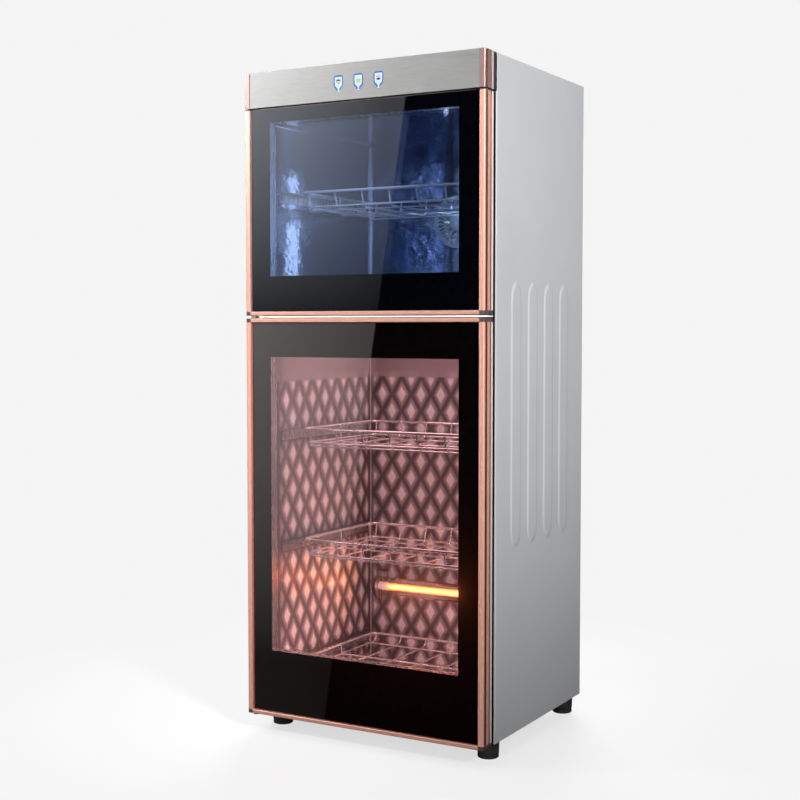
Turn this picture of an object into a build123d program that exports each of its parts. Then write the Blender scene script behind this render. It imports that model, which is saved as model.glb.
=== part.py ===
from build123d import *

import os

# Free-standing two-door dish sterilizer cabinet, in millimetres.
# X runs across the cabinet, Y from front to back and Z up. The origin is on the floor, under the centre
# of the whole cabinet. Depths named d are measured back from the front face of the doors.

# ---------------------------------------------------------------- overall size
WIDTH = 450.0  # over the doors
DEPTH = 400.0  # door face to the back of the body
HEIGHT = 1120.0  # floor to the top
FOOT_HEIGHT = 30.0
FOOT_DIAMETER = 38.0
FOOT_TAPER = 1.5
FOOT_INSET_X = 25.0  # foot centre in from the side
FOOT_INSET_D = 25.0  # foot centre in from the body's front or back

# ---------------------------------------------------------------- body sheet metal
SHEET = 0.8  # painted outer sheets
FRAME_SHEET = 1.2  # front frame
LINER_SHEET = 0.6  # polished inner sheets
BODY_INSET = 1.5  # body side in from the door edge; the ribs fill it
BODY_GAP = 14.0  # gap between the door's back and the body, where the seal works
SIDE_FLANGE = 13.0
SIDE_BEND = 0.7  # radius of the front fold
BEND_LIMIT = 0.95  # the fold's radius is at most this share of the sheet
SHEET_CLEAR = 0.2
REAR_INSET = 4.0  # rear panel set in from the edges of the side panels
PAN_FLANGE = 18.0
COVER_FLANGE = 12.0

RIB_COUNT = 4
RIB_WIDTH = 41.0
RIB_LENGTH = 435.0
RIB_PITCH = 65.0
RIB_BOTTOM = 334.0
RIB_FIRST = 74.0  # centre of the first rib behind the body's front
RIB_TAPER = 40.0  # slope of the pressed flanks, degrees

VENT_COUNT = 9
VENT_LENGTH = 120.0
VENT_WIDTH = 4.0
VENT_PITCH = 11.0
VENT_CENTRES_Z = (140.0, 890.0)

# ---------------------------------------------------------------- doors and control panel
DOOR_DEPTH = 31.0
PANEL_HEIGHT = 59.0
PANEL_GAP = 2.0  # between the control panel and the upper door
MID_GAP = 5.0  # between the two doors
MID_GAP_Z = 711.0  # centre of that gap
RAIL_HEIGHT = 6.5
RAIL_WALL = 1.1
TOP_CAP_HEIGHT = 2.0
STILE_FRONT = 9.0  # stile width seen from the front
STILE_WIDTH = 16.0  # stile width behind the glass
STILE_NOSE = 2.0  # rounding of the front corner
GROOVE_1 = (4.0, 9.0, 3.0)  # from d, to d, how deep
GROOVE_2 = (22.0, 24.5, 2.0)
STILE_WALL = 1.8
GLASS = 4.0
GLASS_D = 1.0
FIT = 0.2  # gap between pieces of one door
WINDOW_SIDE = 47.0  # window edge in from the door edge
UPPER_WINDOW_SILL = 66.0  # window edge in from the bottom of its door
UPPER_WINDOW_HEAD = 23.5  # window edge in from the top of its door
LOWER_WINDOW_SILL = 112.5
LOWER_WINDOW_HEAD = 64.5
INNER_WINDOW_MARGIN = 6.0  # inner opening larger than the window
INNER_GLASS_LAP = 7.0
INNER_PANEL = 4.1
SEAL_WIDTH = 12.0
SEAL_INSET = 16.0  # seal's outer edge in from the door edge
SEAL_INSET_Z = 3.2  # the same at the top and bottom of a door
SEAL_BASE = 3.0
SEAL_NECK = 5.0
SEAL_NECK_IN = 3.0  # neck narrower than the base on each side
SEAL_HEAD_IN = 0.5
SEAL_CLEAR = 0.3

# ---------------------------------------------------------------- hinges
HINGE_X = 9.0  # pin in from the door edge
HINGE_D = 12.0
PIN_RADIUS = 2.5
PIN_CLEAR = 0.05
PIN_LENGTH = 14.0  # reach of a pin into a door
BUSH_RADIUS = 4.0
BUSH_LENGTH = 16.0
BUSH_FLANGE_RADIUS = 6.0
BUSH_FLANGE = 0.7
DOOR_LIFT = 1.0  # gap between a door and the hinge plate that carries it
PLATE_CLEAR = 0.02
HINGE_PLATE = 3.0
HINGE_TONGUE = 10.0  # width of the plate
HINGE_NOSE_REACH = 4.5  # from the pin to the front end of the plate
HINGE_NOSE = 4.0
HINGE_FLANGE_WIDTH = 20.0
HINGE_FLANGE_HEIGHT = 26.0
HINGE_FLANGE_SHEET = 2.0
HINGE_TAIL = 5.0  # how far the bottom plate runs under the base pan
MIDDLE_TRIM_HEIGHT = 10.0
MIDDLE_TRIM_SETBACK = 2.0  # behind the back of the doors
MIDDLE_TRIM_END = 20.0  # in from the door edge
MIDDLE_TRIM_WALL = 1.0
MIDDLE_TRIM_EDGE = 0.8
SWITCH_SIZE = (8.0, 9.0, 20.0)
SWITCH_SIDE = 22.0  # centre in from the door edge
SWITCH_FROM_GAP = 60.0  # above and below the gap between the doors

# ---------------------------------------------------------------- compartments
CAVITY_SIDE = 30.0  # wall of a compartment in from the door edge
SERVICE_DEPTH = 38.0  # space behind the compartments
MID_BEAM_HALF = 25.0  # from the gap between the doors to a compartment
TOP_SPACE = 21.0  # from the control panel down to the upper compartment
BOTTOM_SPACE = 30.0  # from the base up to the lower compartment
CAVITY_CORNER = 6.0
BLANKET = 10.0  # insulation around the lower compartment
BLANKET_START = 14.0  # behind the front frame

# ---------------------------------------------------------------- racks
RACK_SIDE = 23.0  # centre of a side wire in from the wall
RACK_FRONT_D = 90.0
RACK_BACK_GAP = 32.0  # from the back wire to the back wall
RACK_CORNER = 18.0
FRAME_WIRE = 2.5  # wire radii
FLOOR_WIRE = 1.5
FLOOR_WIRE_PITCH = 53.0
FLOOR_WIRE_MARGIN = 6.0  # least gap from a side wire to the first floor wire
CROSS_WIRE_COUNT = 3
WIRE_LEAN = 8.0  # how far the ends of a floor wire lean in
CROSS_LEAN = 1.5
WIRE_BEND = 6.0
CROSS_BEND = 4.0
WELD_GAP = 0.02
DEEP_RACK_DROP = 28.0  # from the frame down to the floor wires
FLAT_RACK_DROP = 12.0
UPPER_TOP_RACK_DOWN = 114.0  # below the compartment's ceiling
UPPER_BOTTOM_RACK_UP = 42.0  # above the compartment's floor
LOWER_RACK_HEIGHTS = {"lower_rack_top": 457.0, "lower_rack_middle": 263.0, "lower_rack_bottom": 52.0}
RUNNER_SHEET = 1.5
RUNNER_HEIGHT = 16.0
RUNNER_START_D = 60.0
RUNNER_PAST_RACK = 14.0  # behind the rack's back wire
RUNNER_CLEAR = 0.3
RUNNER_LEDGE_INSET = 1.5  # ledge edge in from the wire's centre

# ---------------------------------------------------------------- infrared heater
HEATER_HEIGHT = 143.0  # above the compartment's floor
HEATER_OFF_WALL = 26.0
HEATER_TUBE_RADIUS = 6.0
HEATER_TUBE_WALL = 1.2
HEATER_SIDE = 45.0  # tube end in from the wall
HEATER_COIL_RADIUS = 2.2
HEATER_CAP_RADIUS = 8.0
HEATER_CAP_LENGTH = 16.0
BRACKET_SHEET = 1.2
BRACKET_HEIGHT = 46.0
BRACKET_WIDTH = 26.0
BRACKET_TAB_DEPTH = 38.0
BRACKET_CORNER = 8.0
REFLECTOR_RADIUS = 17.0
REFLECTOR_SHEET = 0.8

# ---------------------------------------------------------------- ultraviolet lamp
LAMP_SIDE = 77.0  # in from the wall
LAMP_OFF_WALL = 16.0
LAMP_RADIUS = 7.75
LAMP_WALL = 1.0
LAMP_ABOVE_FLOOR = 56.0
LAMP_BELOW_CEILING = 40.0
HOLDER_HEIGHT = 22.0
HOLDER_WIDTH = 24.0
HOLDER_CORNER = 7.0

# ---------------------------------------------------------------- fan
FAN_X = -8.0
FAN_HOLE_RADIUS = 42.0
FAN_SIDE = 92.0
FAN_DEPTH = 25.0
FAN_CORNER = 4.0
FAN_ARM = 5.0  # width of an arm
FAN_ARM_DEPTH = 4.0
FAN_HUB_RADIUS = 17.0
FAN_HUB_GAP = 1.0  # between the impeller and the arms
FAN_FRONT_GAP = 2.0  # impeller set in from the front of its frame
FAN_BORE_FLOOR = 3.0
FAN_BLADE_ROOT = 1.5  # how far a blade reaches into the hub
FAN_BLADES = 7
FAN_BLADE_SHEET = 1.8
FAN_BLADE_PITCH = 35.0
FAN_TIP_CLEAR = 1.5
FAN_SHAFT_RADIUS = 1.5
FAN_SHAFT_CLEAR = 0.05
GUARD_RADIUS = 48.0
GUARD_SHEET = 1.0
GUARD_SLOTS = 32
GUARD_SLOT_FROM = 15.0
GUARD_SLOT_TO = 40.0
GUARD_SLOT_WIDTH = 2.2
GUARD_RIB_RADIUS = 27.5  # solid ring between the two rows of slots
GUARD_RIB = 3.0

# ---------------------------------------------------------------- control panel inside
FASCIA_SHEET = 1.2
HOUSING_WALL = 2.0
KEY_COUNT = 3
KEY_PITCH = 37.6
KEY_FIRST_X = -39.6
KEY_HEIGHT = 27.0  # centre above the bottom of the panel
KEY_SIZE = (18.0, 26.0)
KEY_CORNER = 4.0
KEY_LENS = 2.0
KEY_CLEAR = 0.15
BOARD = 1.6
CONTROL_BOARD_SIZE = (170.0, 42.0)
CONTROL_CHIP = (20.0, 20.0, 4.0)
CONTROL_PLUG = (35.0, 16.0, 9.0)
CONTROL_PART_X = 50.0  # chip to the left, plug to the right
POWER_BOARD_SIZE = (130.0, 90.0)
POWER_BOARD_X = 90.0
POWER_BOARD_D = 200.0
TRANSFORMER = (42.0, 35.0, 32.0)
CAPACITOR_RADIUS = 9.0
CAPACITOR_HEIGHT = 18.0
POWER_PART_X = 32.0  # transformer to the left, capacitor to the right
POST_HEIGHT = 10.0
CONTROL_POST_HEIGHT = 5.0
POST_RADIUS = 4.0
POST_INSET = 8.0
OZONE_BOX = (70.0, 46.0, 26.0)
OZONE_CORNER = 4.0
OZONE_SPOUT_RADIUS = 5.0
OZONE_SPOUT = 8.0
OZONE_X = -90.0
OZONE_D = 200.0

# ---------------------------------------------------------------- small parts
GLAND_SIDE = 75.0  # in from the side
GLAND_Z = 90.0
GLAND_BORE = 3.8
GLAND_RADIUS = 7.0
GLAND_FLANGE_RADIUS = 11.0
GLAND_FLANGE = 3.0
GLAND_LENGTH = 14.0
SCREW_RADIUS = 3.0
SCREW_HEAD_RADIUS = 5.5
SCREW_HEAD = 3.5
SCREW_LENGTH = 20.0
CUTOUT_RADIUS = 8.0
CUTOUT_HEIGHT = 9.0
CUTOUT_TERMINALS = (20.0, 2.0, 6.0)
CUTOUT_SIDE = 60.0  # from the middle, on both sides
CUTOUT_HEIGHT_UP = 360.0  # above the compartment's floor

# ---------------------------------------------------------------- derived places
FRONT = -DEPTH / 2
HALF = WIDTH / 2
BODY_HALF = HALF - BODY_INSET
BODY_D = DOOR_DEPTH + BODY_GAP
FRAME_D = BODY_D + SHEET + SHEET_CLEAR
LINER_D = FRAME_D + FRAME_SHEET + SHEET_CLEAR
REAR_D = DEPTH - REAR_INSET - SHEET
REAR_FLANGE_D = REAR_D - SHEET_CLEAR - SHEET
BODY_BACK_D = REAR_FLANGE_D - SHEET_CLEAR
BODY_TOP = HEIGHT - SHEET - SHEET_CLEAR
INNER_HALF = BODY_HALF - SHEET - SHEET_CLEAR
STILE_INNER = HALF - STILE_WIDTH
GLASS_HALF = HALF - STILE_FRONT - FIT
CORE_HALF = STILE_INNER - FIT
GLASS_BACK_D = GLASS_D + GLASS + FIT
INNER_GLASS_D = DOOR_DEPTH - INNER_PANEL - FIT - GLASS
PANEL_BOTTOM = HEIGHT - PANEL_HEIGHT
KEY_Z = PANEL_BOTTOM + KEY_HEIGHT
LOWER_DOOR_Z = (FOOT_HEIGHT + DOOR_LIFT, MID_GAP_Z - MID_GAP / 2)
UPPER_DOOR_Z = (MID_GAP_Z + MID_GAP / 2, PANEL_BOTTOM - PANEL_GAP)
WINDOW_HALF = HALF - WINDOW_SIDE
LOWER_WINDOW = (LOWER_DOOR_Z[0] + LOWER_WINDOW_SILL, LOWER_DOOR_Z[1] - LOWER_WINDOW_HEAD)
UPPER_WINDOW = (UPPER_DOOR_Z[0] + UPPER_WINDOW_SILL, UPPER_DOOR_Z[1] - UPPER_WINDOW_HEAD)
PIN_X = -HALF + HINGE_X
CAVITY_HALF = HALF - CAVITY_SIDE
CAVITY_BACK_D = DEPTH - SERVICE_DEPTH
LOWER_CAVITY = (FOOT_HEIGHT + BOTTOM_SPACE, MID_GAP_Z - MID_BEAM_HALF)
UPPER_CAVITY = (MID_GAP_Z + MID_BEAM_HALF, PANEL_BOTTOM - TOP_SPACE)
RACK_HALF = CAVITY_HALF - RACK_SIDE
RACK_BACK_D = CAVITY_BACK_D - RACK_BACK_GAP
RUNNER_END_D = RACK_BACK_D + FRAME_WIRE + RUNNER_PAST_RACK
UPPER_RACKS_Z = {
    "upper_rack_top": UPPER_CAVITY[1] - UPPER_TOP_RACK_DOWN,
    "upper_rack_bottom": UPPER_CAVITY[0] + UPPER_BOTTOM_RACK_UP,
}
LOWER_RACKS_Z = {name: LOWER_CAVITY[0] + up for name, up in LOWER_RACK_HEIGHTS.items()}
HEATER_Z = LOWER_CAVITY[0] + HEATER_HEIGHT
HEATER_D = CAVITY_BACK_D - HEATER_OFF_WALL
HEATER_HALF = CAVITY_HALF - HEATER_SIDE
LAMP_X = CAVITY_HALF - LAMP_SIDE
LAMP_D = CAVITY_BACK_D - LAMP_OFF_WALL
LAMP_Z = (UPPER_CAVITY[0] + LAMP_ABOVE_FLOOR, UPPER_CAVITY[1] - LAMP_BELOW_CEILING)
FAN_Z = (UPPER_CAVITY[0] + UPPER_CAVITY[1]) / 2
FAN_D = CAVITY_BACK_D + LINER_SHEET + FIT
CUTOUT_Z = LOWER_CAVITY[0] + CUTOUT_HEIGHT_UP
GLAND_X = HALF - GLAND_SIDE
OVERCUT = 1.0  # how far a cutting shape runs past the faces that it cuts


# ---------------------------------------------------------------- helpers
def block(x0, x1, d0, d1, z0, z1):
    """A box between two corners, with its depth given from the door face."""
    size = (x1 - x0, d1 - d0, z1 - z0)
    middle = ((x0 + x1) / 2, FRONT + (d0 + d1) / 2, (z0 + z1) / 2)
    return Pos(*middle) * Box(*size)


def ring(half, inner_half, d0, d1, outer_z, inner_z):
    """A flat rectangular ring that stands upright, such as a seal or a window frame."""
    outer = block(-half, half, d0, d1, *outer_z)
    return outer - block(-inner_half, inner_half, d0 - 1, d1 + 1, *inner_z)


def rod_x(radius, x0, x1, d, z):
    """A round bar along X."""
    return Pos((x0 + x1) / 2, FRONT + d, z) * Rot(0, 90, 0) * Cylinder(radius, x1 - x0)


def rod_d(radius, x, d0, d1, z):
    """A round bar from front to back."""
    return Pos(x, FRONT + (d0 + d1) / 2, z) * Rot(90, 0, 0) * Cylinder(radius, d1 - d0)


def rod_z(radius, x, d, z0, z1):
    """An upright round bar."""
    return Pos(x, FRONT + d, (z0 + z1) / 2) * Cylinder(radius, z1 - z0)


def wire_along(points, radius, bend):
    """A bent round wire through points given as x, d, z."""
    path = FilletPolyline(*[(x, FRONT + d, z) for x, d, z in points], radius=bend)
    section = Plane(origin=path @ 0, z_dir=path % 0) * Circle(radius)
    return sweep(section, path=path)


def mirrored(shape):
    """The same piece for the other side of the cabinet."""
    return mirror(shape, about=Plane.YZ)


def shrink(span, margin):
    """A vertical span taken in by a margin at both ends."""
    return span[0] + margin, span[1] - margin


# ---------------------------------------------------------------- body
def side_panel():
    """Right side sheet, with its folded front and back edges and four long pressed ribs."""
    inner = BODY_HALF - SHEET
    sheet = block(inner, BODY_HALF, BODY_D, DEPTH, FOOT_HEIGHT, HEIGHT)
    for d0 in (BODY_D, REAR_FLANGE_D):
        sheet += block(BODY_HALF - SIDE_FLANGE, inner, d0, d0 + SHEET, FOOT_HEIGHT, BODY_TOP)
    fold = sheet.edges().filter_by(Axis.Z).sort_by_distance((BODY_HALF, FRONT + BODY_D, HEIGHT / 2))[0]
    sheet = fillet(fold, min(SIDE_BEND, SHEET * BEND_LIMIT))
    for i in range(RIB_COUNT):
        middle = (FRONT + BODY_D + RIB_FIRST + i * RIB_PITCH, RIB_BOTTOM + RIB_LENGTH / 2)
        sheet += rib_pad(BODY_HALF, middle, RIB_WIDTH, RIB_LENGTH)
        sheet -= rib_pad(inner, middle, RIB_WIDTH - 2 * SHEET, RIB_LENGTH - 2 * SHEET)
    return sheet


def rib_pad(start, middle, width, length):
    """A long round-ended pad with sloping flanks, standing out from the plane x = start."""
    plane = Plane(origin=(start, *middle), x_dir=(0, 0, 1), z_dir=(1, 0, 0))
    return extrude(plane * SlotOverall(length, width), BODY_INSET, taper=RIB_TAPER)


def left_side_panel():
    """The mirrored sheet, notched at the front fold where the hinge plates pass."""
    sheet = mirrored(side_panel())
    for z0, z1 in hinge_plate_heights()[1:]:
        edge = SIDE_FLANGE - BODY_HALF + OVERCUT
        left = PIN_X - HINGE_TONGUE / 2 - FIT
        sheet -= block(left, edge, BODY_D - OVERCUT, FRAME_D, z0 - FIT, z1 + FIT)
    return sheet


def top_cover():
    """Top sheet with a short fold down each side."""
    fold = INNER_HALF - SHEET
    cover = block(-INNER_HALF, INNER_HALF, BODY_D, DEPTH, HEIGHT - SHEET, HEIGHT)
    for x0, x1 in ((-INNER_HALF, -fold), (fold, INNER_HALF)):
        cover += block(x0, x1, LINER_D, BODY_BACK_D, HEIGHT - COVER_FLANGE, HEIGHT - SHEET)
    return cover


def rear_panel():
    """Back sheet with two groups of vent slots and the hole for the mains gland."""
    sheet = block(-INNER_HALF, INNER_HALF, REAR_D, REAR_D + SHEET, FOOT_HEIGHT + SHEET_CLEAR, BODY_TOP)
    slots = []
    for centre in VENT_CENTRES_Z:
        for i in range(VENT_COUNT):
            z = centre + (i - (VENT_COUNT - 1) / 2) * VENT_PITCH
            plane = Plane(origin=(0, FRONT + REAR_D, z), x_dir=(1, 0, 0), z_dir=(0, 1, 0))
            slots.append(extrude(plane * SlotOverall(VENT_LENGTH, VENT_WIDTH), 2 * SHEET, both=True))
    sheet = sheet - slots
    return sheet - rod_d(GLAND_RADIUS + FIT / 2, GLAND_X, REAR_D - OVERCUT, DEPTH, GLAND_Z)


def foot_places():
    near = BODY_D + FOOT_INSET_D
    far = DEPTH - FOOT_INSET_D
    return [(s * (HALF - FOOT_INSET_X), d) for s in (-1, 1) for d in (near, far)]


def base_pan():
    """Folded tray that closes the bottom and carries the feet."""
    bottom = FOOT_HEIGHT
    outer = block(-INNER_HALF, INNER_HALF, LINER_D, BODY_BACK_D, bottom, bottom + PAN_FLANGE)
    inner = block(
        -INNER_HALF + FRAME_SHEET,
        INNER_HALF - FRAME_SHEET,
        LINER_D + FRAME_SHEET,
        BODY_BACK_D - FRAME_SHEET,
        bottom + FRAME_SHEET,
        bottom + PAN_FLANGE + OVERCUT,
    )
    pan = outer - inner
    for x, d in foot_places():
        pan -= rod_z(SCREW_RADIUS + FIT, x, d, bottom - OVERCUT, bottom + PAN_FLANGE)
    return pan


def feet():
    """Four moulded feet, narrower at the floor, each with a blind hole for its screw."""
    made = []
    for x, d in foot_places():
        radius = FOOT_DIAMETER / 2
        cone = Cone(radius - FOOT_TAPER, radius, FOOT_HEIGHT, align=(Align.CENTER, Align.CENTER, Align.MIN))
        cone = chamfer(cone.edges().sort_by(Axis.Z)[0], FOOT_TAPER)
        hole = rod_z(SCREW_RADIUS + FIT / 2, x, d, FOOT_HEIGHT - SCREW_LENGTH, FOOT_HEIGHT + OVERCUT)
        made.append(Pos(x, FRONT + d, 0) * cone - hole)
    return made


def foot_screws():
    seat = FOOT_HEIGHT + FRAME_SHEET
    made = []
    for x, d in foot_places():
        shank = rod_z(SCREW_RADIUS, x, d, FOOT_HEIGHT - SCREW_LENGTH + FIT, seat)
        made.append(shank + rod_z(SCREW_HEAD_RADIUS, x, d, seat, seat + SCREW_HEAD))
    return made


def front_frame():
    """The sheet around both openings that the seals close against, slotted for two hinge plates."""
    back = FRAME_D + FRAME_SHEET
    sheet = block(-INNER_HALF, INNER_HALF, FRAME_D, back, FOOT_HEIGHT, BODY_TOP)
    for low, high in (LOWER_CAVITY, UPPER_CAVITY):
        hole = block(-CAVITY_HALF, CAVITY_HALF, FRAME_D - OVERCUT, back + OVERCUT, low, high)
        sheet -= fillet(hole.edges().filter_by(Axis.Y), CAVITY_CORNER)
    reach = HINGE_TONGUE / 2 + FIT
    for z0, z1 in hinge_plate_heights()[1:]:
        sheet -= block(PIN_X - reach, PIN_X + reach, FRAME_D - OVERCUT, back + OVERCUT, z0 - FIT, z1 + FIT)
    return sheet


def middle_trim():
    """Bright channel on the front frame, seen through the gap between the doors."""
    half = HALF - MIDDLE_TRIM_END
    low, high = MID_GAP_Z - MIDDLE_TRIM_HEIGHT / 2, MID_GAP_Z + MIDDLE_TRIM_HEIGHT / 2
    front = DOOR_DEPTH + MIDDLE_TRIM_SETBACK
    wall = MIDDLE_TRIM_WALL
    bar = block(-half, half, front, FRAME_D, low, high)
    nose = bar.edges().filter_by(Axis.X).sort_by(Axis.Y)[:2]
    bar = fillet(nose, MIDDLE_TRIM_EDGE)
    return bar - block(-half + wall, half - wall, front + wall, FRAME_D + OVERCUT, low + wall, high - wall)


def door_switches():
    """Reed switches behind the front frame, one for each door's magnetic seal."""
    width, depth, height = SWITCH_SIZE
    made = []
    for side in (-1, 1):
        x = HALF - SWITCH_SIDE
        low = MID_GAP_Z + side * SWITCH_FROM_GAP - height / 2
        made.append(block(x - width / 2, x + width / 2, LINER_D, LINER_D + depth, low, low + height))
    return made


def tunnel(cavity, grow, d0, d1):
    """A round-cornered bar as wide and high as a compartment, grown by the same amount all round."""
    low, high = cavity
    half = CAVITY_HALF + grow
    bar = block(-half, half, d0, d1, low - grow, high + grow)
    return fillet(bar.edges().filter_by(Axis.Y), CAVITY_CORNER + grow)


def liner_wrap(cavity):
    """The polished sheet that makes the floor, walls and ceiling of a compartment."""
    outer = tunnel(cavity, LINER_SHEET, LINER_D, CAVITY_BACK_D)
    return outer - tunnel(cavity, 0, LINER_D - OVERCUT, CAVITY_BACK_D + OVERCUT)


def liner_back(cavity):
    """The flat sheet that closes the back of a compartment."""
    half = CAVITY_HALF + LINER_SHEET
    span = shrink(cavity, -LINER_SHEET)
    return block(-half, half, CAVITY_BACK_D, CAVITY_BACK_D + LINER_SHEET, *span)


def insulation():
    """Blanket wrapped around the lower compartment."""
    inner = LINER_SHEET + SHEET_CLEAR
    d0, d1 = LINER_D + BLANKET_START, CAVITY_BACK_D - FIT
    blanket = tunnel(LOWER_CAVITY, inner + BLANKET, d0, d1)
    return blanket - tunnel(LOWER_CAVITY, inner, d0 - OVERCUT, d1 + OVERCUT)


# ---------------------------------------------------------------- doors
def stile_outline():
    """Plan of the right-hand stile: a rounded nose, two grooves down the edge and a step for the glass."""
    g1_from, g1_to, g1_deep = GROOVE_1
    g2_from, g2_to, g2_deep = GROOVE_2
    step = GLASS_BACK_D
    points = [
        (HALF - STILE_FRONT, 0),
        (HALF, 0),
        (HALF, g1_from),
        (HALF - g1_deep, g1_from),
        (HALF - g1_deep, g1_to),
        (HALF, g1_to),
        (HALF, g2_from),
        (HALF - g2_deep, g2_from),
        (HALF - g2_deep, g2_to),
        (HALF, g2_to),
        (HALF, DOOR_DEPTH),
        (STILE_INNER, DOOR_DEPTH),
        (STILE_INNER, step),
        (HALF - STILE_FRONT, step),
    ]
    outline = make_face(Polyline(*[(x, FRONT + d) for x, d in points], close=True))
    nose = outline.vertices().sort_by_distance((HALF, FRONT))[0]
    ribs = [
        outline.vertices().sort_by_distance((HALF, FRONT + d))[0]
        for d in (g1_to, g2_from, g2_to, DOOR_DEPTH)
    ]
    outline = fillet(nose, STILE_NOSE)
    return fillet([outline.vertices().sort_by_distance(v.center())[0] for v in ribs], STILE_NOSE / 2)


def stile_chamber():
    """The hollow down the inside of a stile, which also takes the hinge bush."""
    x0 = STILE_INNER + STILE_WALL
    x1 = HALF - GROOVE_1[2] - STILE_WALL / 2
    return x0, x1, GLASS_BACK_D + STILE_WALL, DOOR_DEPTH - STILE_WALL


def stile(z0, z1):
    body = Pos(0, 0, z0) * extrude(stile_outline(), z1 - z0, dir=(0, 0, 1))
    return body - block(*stile_chamber(), z0 - OVERCUT, z1 + OVERCUT)


def rail(z0, z1, full_front):
    """A door's top or bottom rail. Its front strip closes the glass edge unless the glass covers it."""
    back = block(-CORE_HALF, CORE_HALF, GLASS_BACK_D, DOOR_DEPTH, z0, z1)
    past = CORE_HALF + OVERCUT
    d0, d1 = GLASS_BACK_D + STILE_WALL, DOOR_DEPTH - STILE_WALL
    back -= block(-past, past, d0, d1, z0 + RAIL_WALL, z1 - RAIL_WALL)
    if not full_front:
        return back
    strip = block(-GLASS_HALF, GLASS_HALF, 0, GLASS_BACK_D, z0, z1)
    long_front = strip.edges().filter_by(Axis.X).sort_by(Axis.Y)[:2]
    return fillet(long_front, STILE_NOSE / 2) + back


def corner_caps(door_z, top_cap):
    """Moulded caps that close the ends of both stiles. Those on the hinge side hold the bushes."""
    low, high = door_z
    bush_hole = rod_z(BUSH_RADIUS + PIN_CLEAR, PIN_X, HINGE_D, low - OVERCUT, high + OVERCUT)
    made = []
    for z0, height in ((low, RAIL_HEIGHT), (high - top_cap, top_cap)):
        cap = Pos(0, 0, z0) * extrude(stile_outline(), height, dir=(0, 0, 1))
        made += [cap, mirrored(cap) - bush_hole]
    return made


def bush(end_z, way):
    """A flanged hinge bush pushed into a stile end; way is 1 for the bottom of a door and -1 for the top."""
    inside = sorted((end_z, end_z + way * BUSH_LENGTH))
    outside = sorted((end_z, end_z - way * BUSH_FLANGE))
    body = rod_z(BUSH_RADIUS, PIN_X, HINGE_D, *inside) + rod_z(BUSH_FLANGE_RADIUS, PIN_X, HINGE_D, *outside)
    bore_z = shrink((end_z, end_z), -2 * BUSH_LENGTH)
    return body - rod_z(PIN_RADIUS + PIN_CLEAR, PIN_X, HINGE_D, *bore_z)


def seal(door_z):
    """The soft seal on the back of a door: a base, a narrow neck and a wide head."""
    half = HALF - SEAL_INSET
    outer_z = shrink(door_z, SEAL_INSET_Z)
    neck_d = DOOR_DEPTH + SEAL_BASE
    head_d = neck_d + SEAL_NECK
    made = []
    for taken, d0, d1 in (
        (0.0, DOOR_DEPTH, neck_d),
        (SEAL_NECK_IN, neck_d, head_d),
        (SEAL_HEAD_IN, head_d, FRAME_D - SEAL_CLEAR),
    ):
        outer = shrink(outer_z, taken)
        inner = shrink(outer_z, SEAL_WIDTH - taken)
        made.append(ring(half - taken, half - SEAL_WIDTH + taken, d0, d1, outer, inner))
    return made[0] + made[1:]


def door(name, door_z, window, glass_to_top):
    """Every piece of one door, as node name to solids."""
    low, high = door_z
    top_cap = TOP_CAP_HEIGHT if glass_to_top else RAIL_HEIGHT
    core_z = (low + RAIL_HEIGHT + FIT, high - RAIL_HEIGHT - FIT)
    glass_z = (core_z[0], high - FIT) if glass_to_top else core_z
    opening = shrink(window, -INNER_WINDOW_MARGIN)
    opening_half = WINDOW_HALF + INNER_WINDOW_MARGIN
    pane_z = shrink(opening, -INNER_GLASS_LAP)
    pane_half = opening_half + INNER_GLASS_LAP
    pane_back = INNER_GLASS_D + GLASS
    right = stile(low + RAIL_HEIGHT, high - top_cap)
    top_rail = rail(high - RAIL_HEIGHT, high, not glass_to_top)
    spacer = ring(CORE_HALF, WINDOW_HALF, GLASS_BACK_D, INNER_GLASS_D - FIT, core_z, window)
    edge_band = ring(CORE_HALF, pane_half + FIT, INNER_GLASS_D - FIT, pane_back, core_z, shrink(pane_z, -FIT))
    return {
        f"{name}_stiles": [mirrored(right), right],
        f"{name}_rails": [top_rail, rail(low, low + RAIL_HEIGHT, True)],
        f"{name}_corner_caps": corner_caps(door_z, top_cap),
        f"{name}_outer_glass": block(-GLASS_HALF, GLASS_HALF, GLASS_D, GLASS_D + GLASS, *glass_z),
        f"{name}_window_frame": spacer + edge_band,
        f"{name}_inner_glass": block(-pane_half, pane_half, INNER_GLASS_D, pane_back, *pane_z),
        f"{name}_inner_panel": ring(CORE_HALF, opening_half, pane_back + FIT, DOOR_DEPTH, core_z, opening),
        f"{name}_seal": seal(door_z),
        f"{name}_hinge_bushes": [bush(low, 1), bush(high, -1)],
    }


# ---------------------------------------------------------------- hinges
def hinge_plate_heights():
    """Bottom and top of each hinge plate: under the lower door, between the doors and over the upper door."""
    under = (LOWER_DOOR_Z[0] - DOOR_LIFT - HINGE_PLATE, LOWER_DOOR_Z[0] - DOOR_LIFT)
    between = (MID_GAP_Z - HINGE_PLATE / 2, MID_GAP_Z + HINGE_PLATE / 2)
    over = (PANEL_BOTTOM + HOUSING_WALL, PANEL_BOTTOM + HOUSING_WALL + HINGE_PLATE)
    return under, between, over


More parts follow.
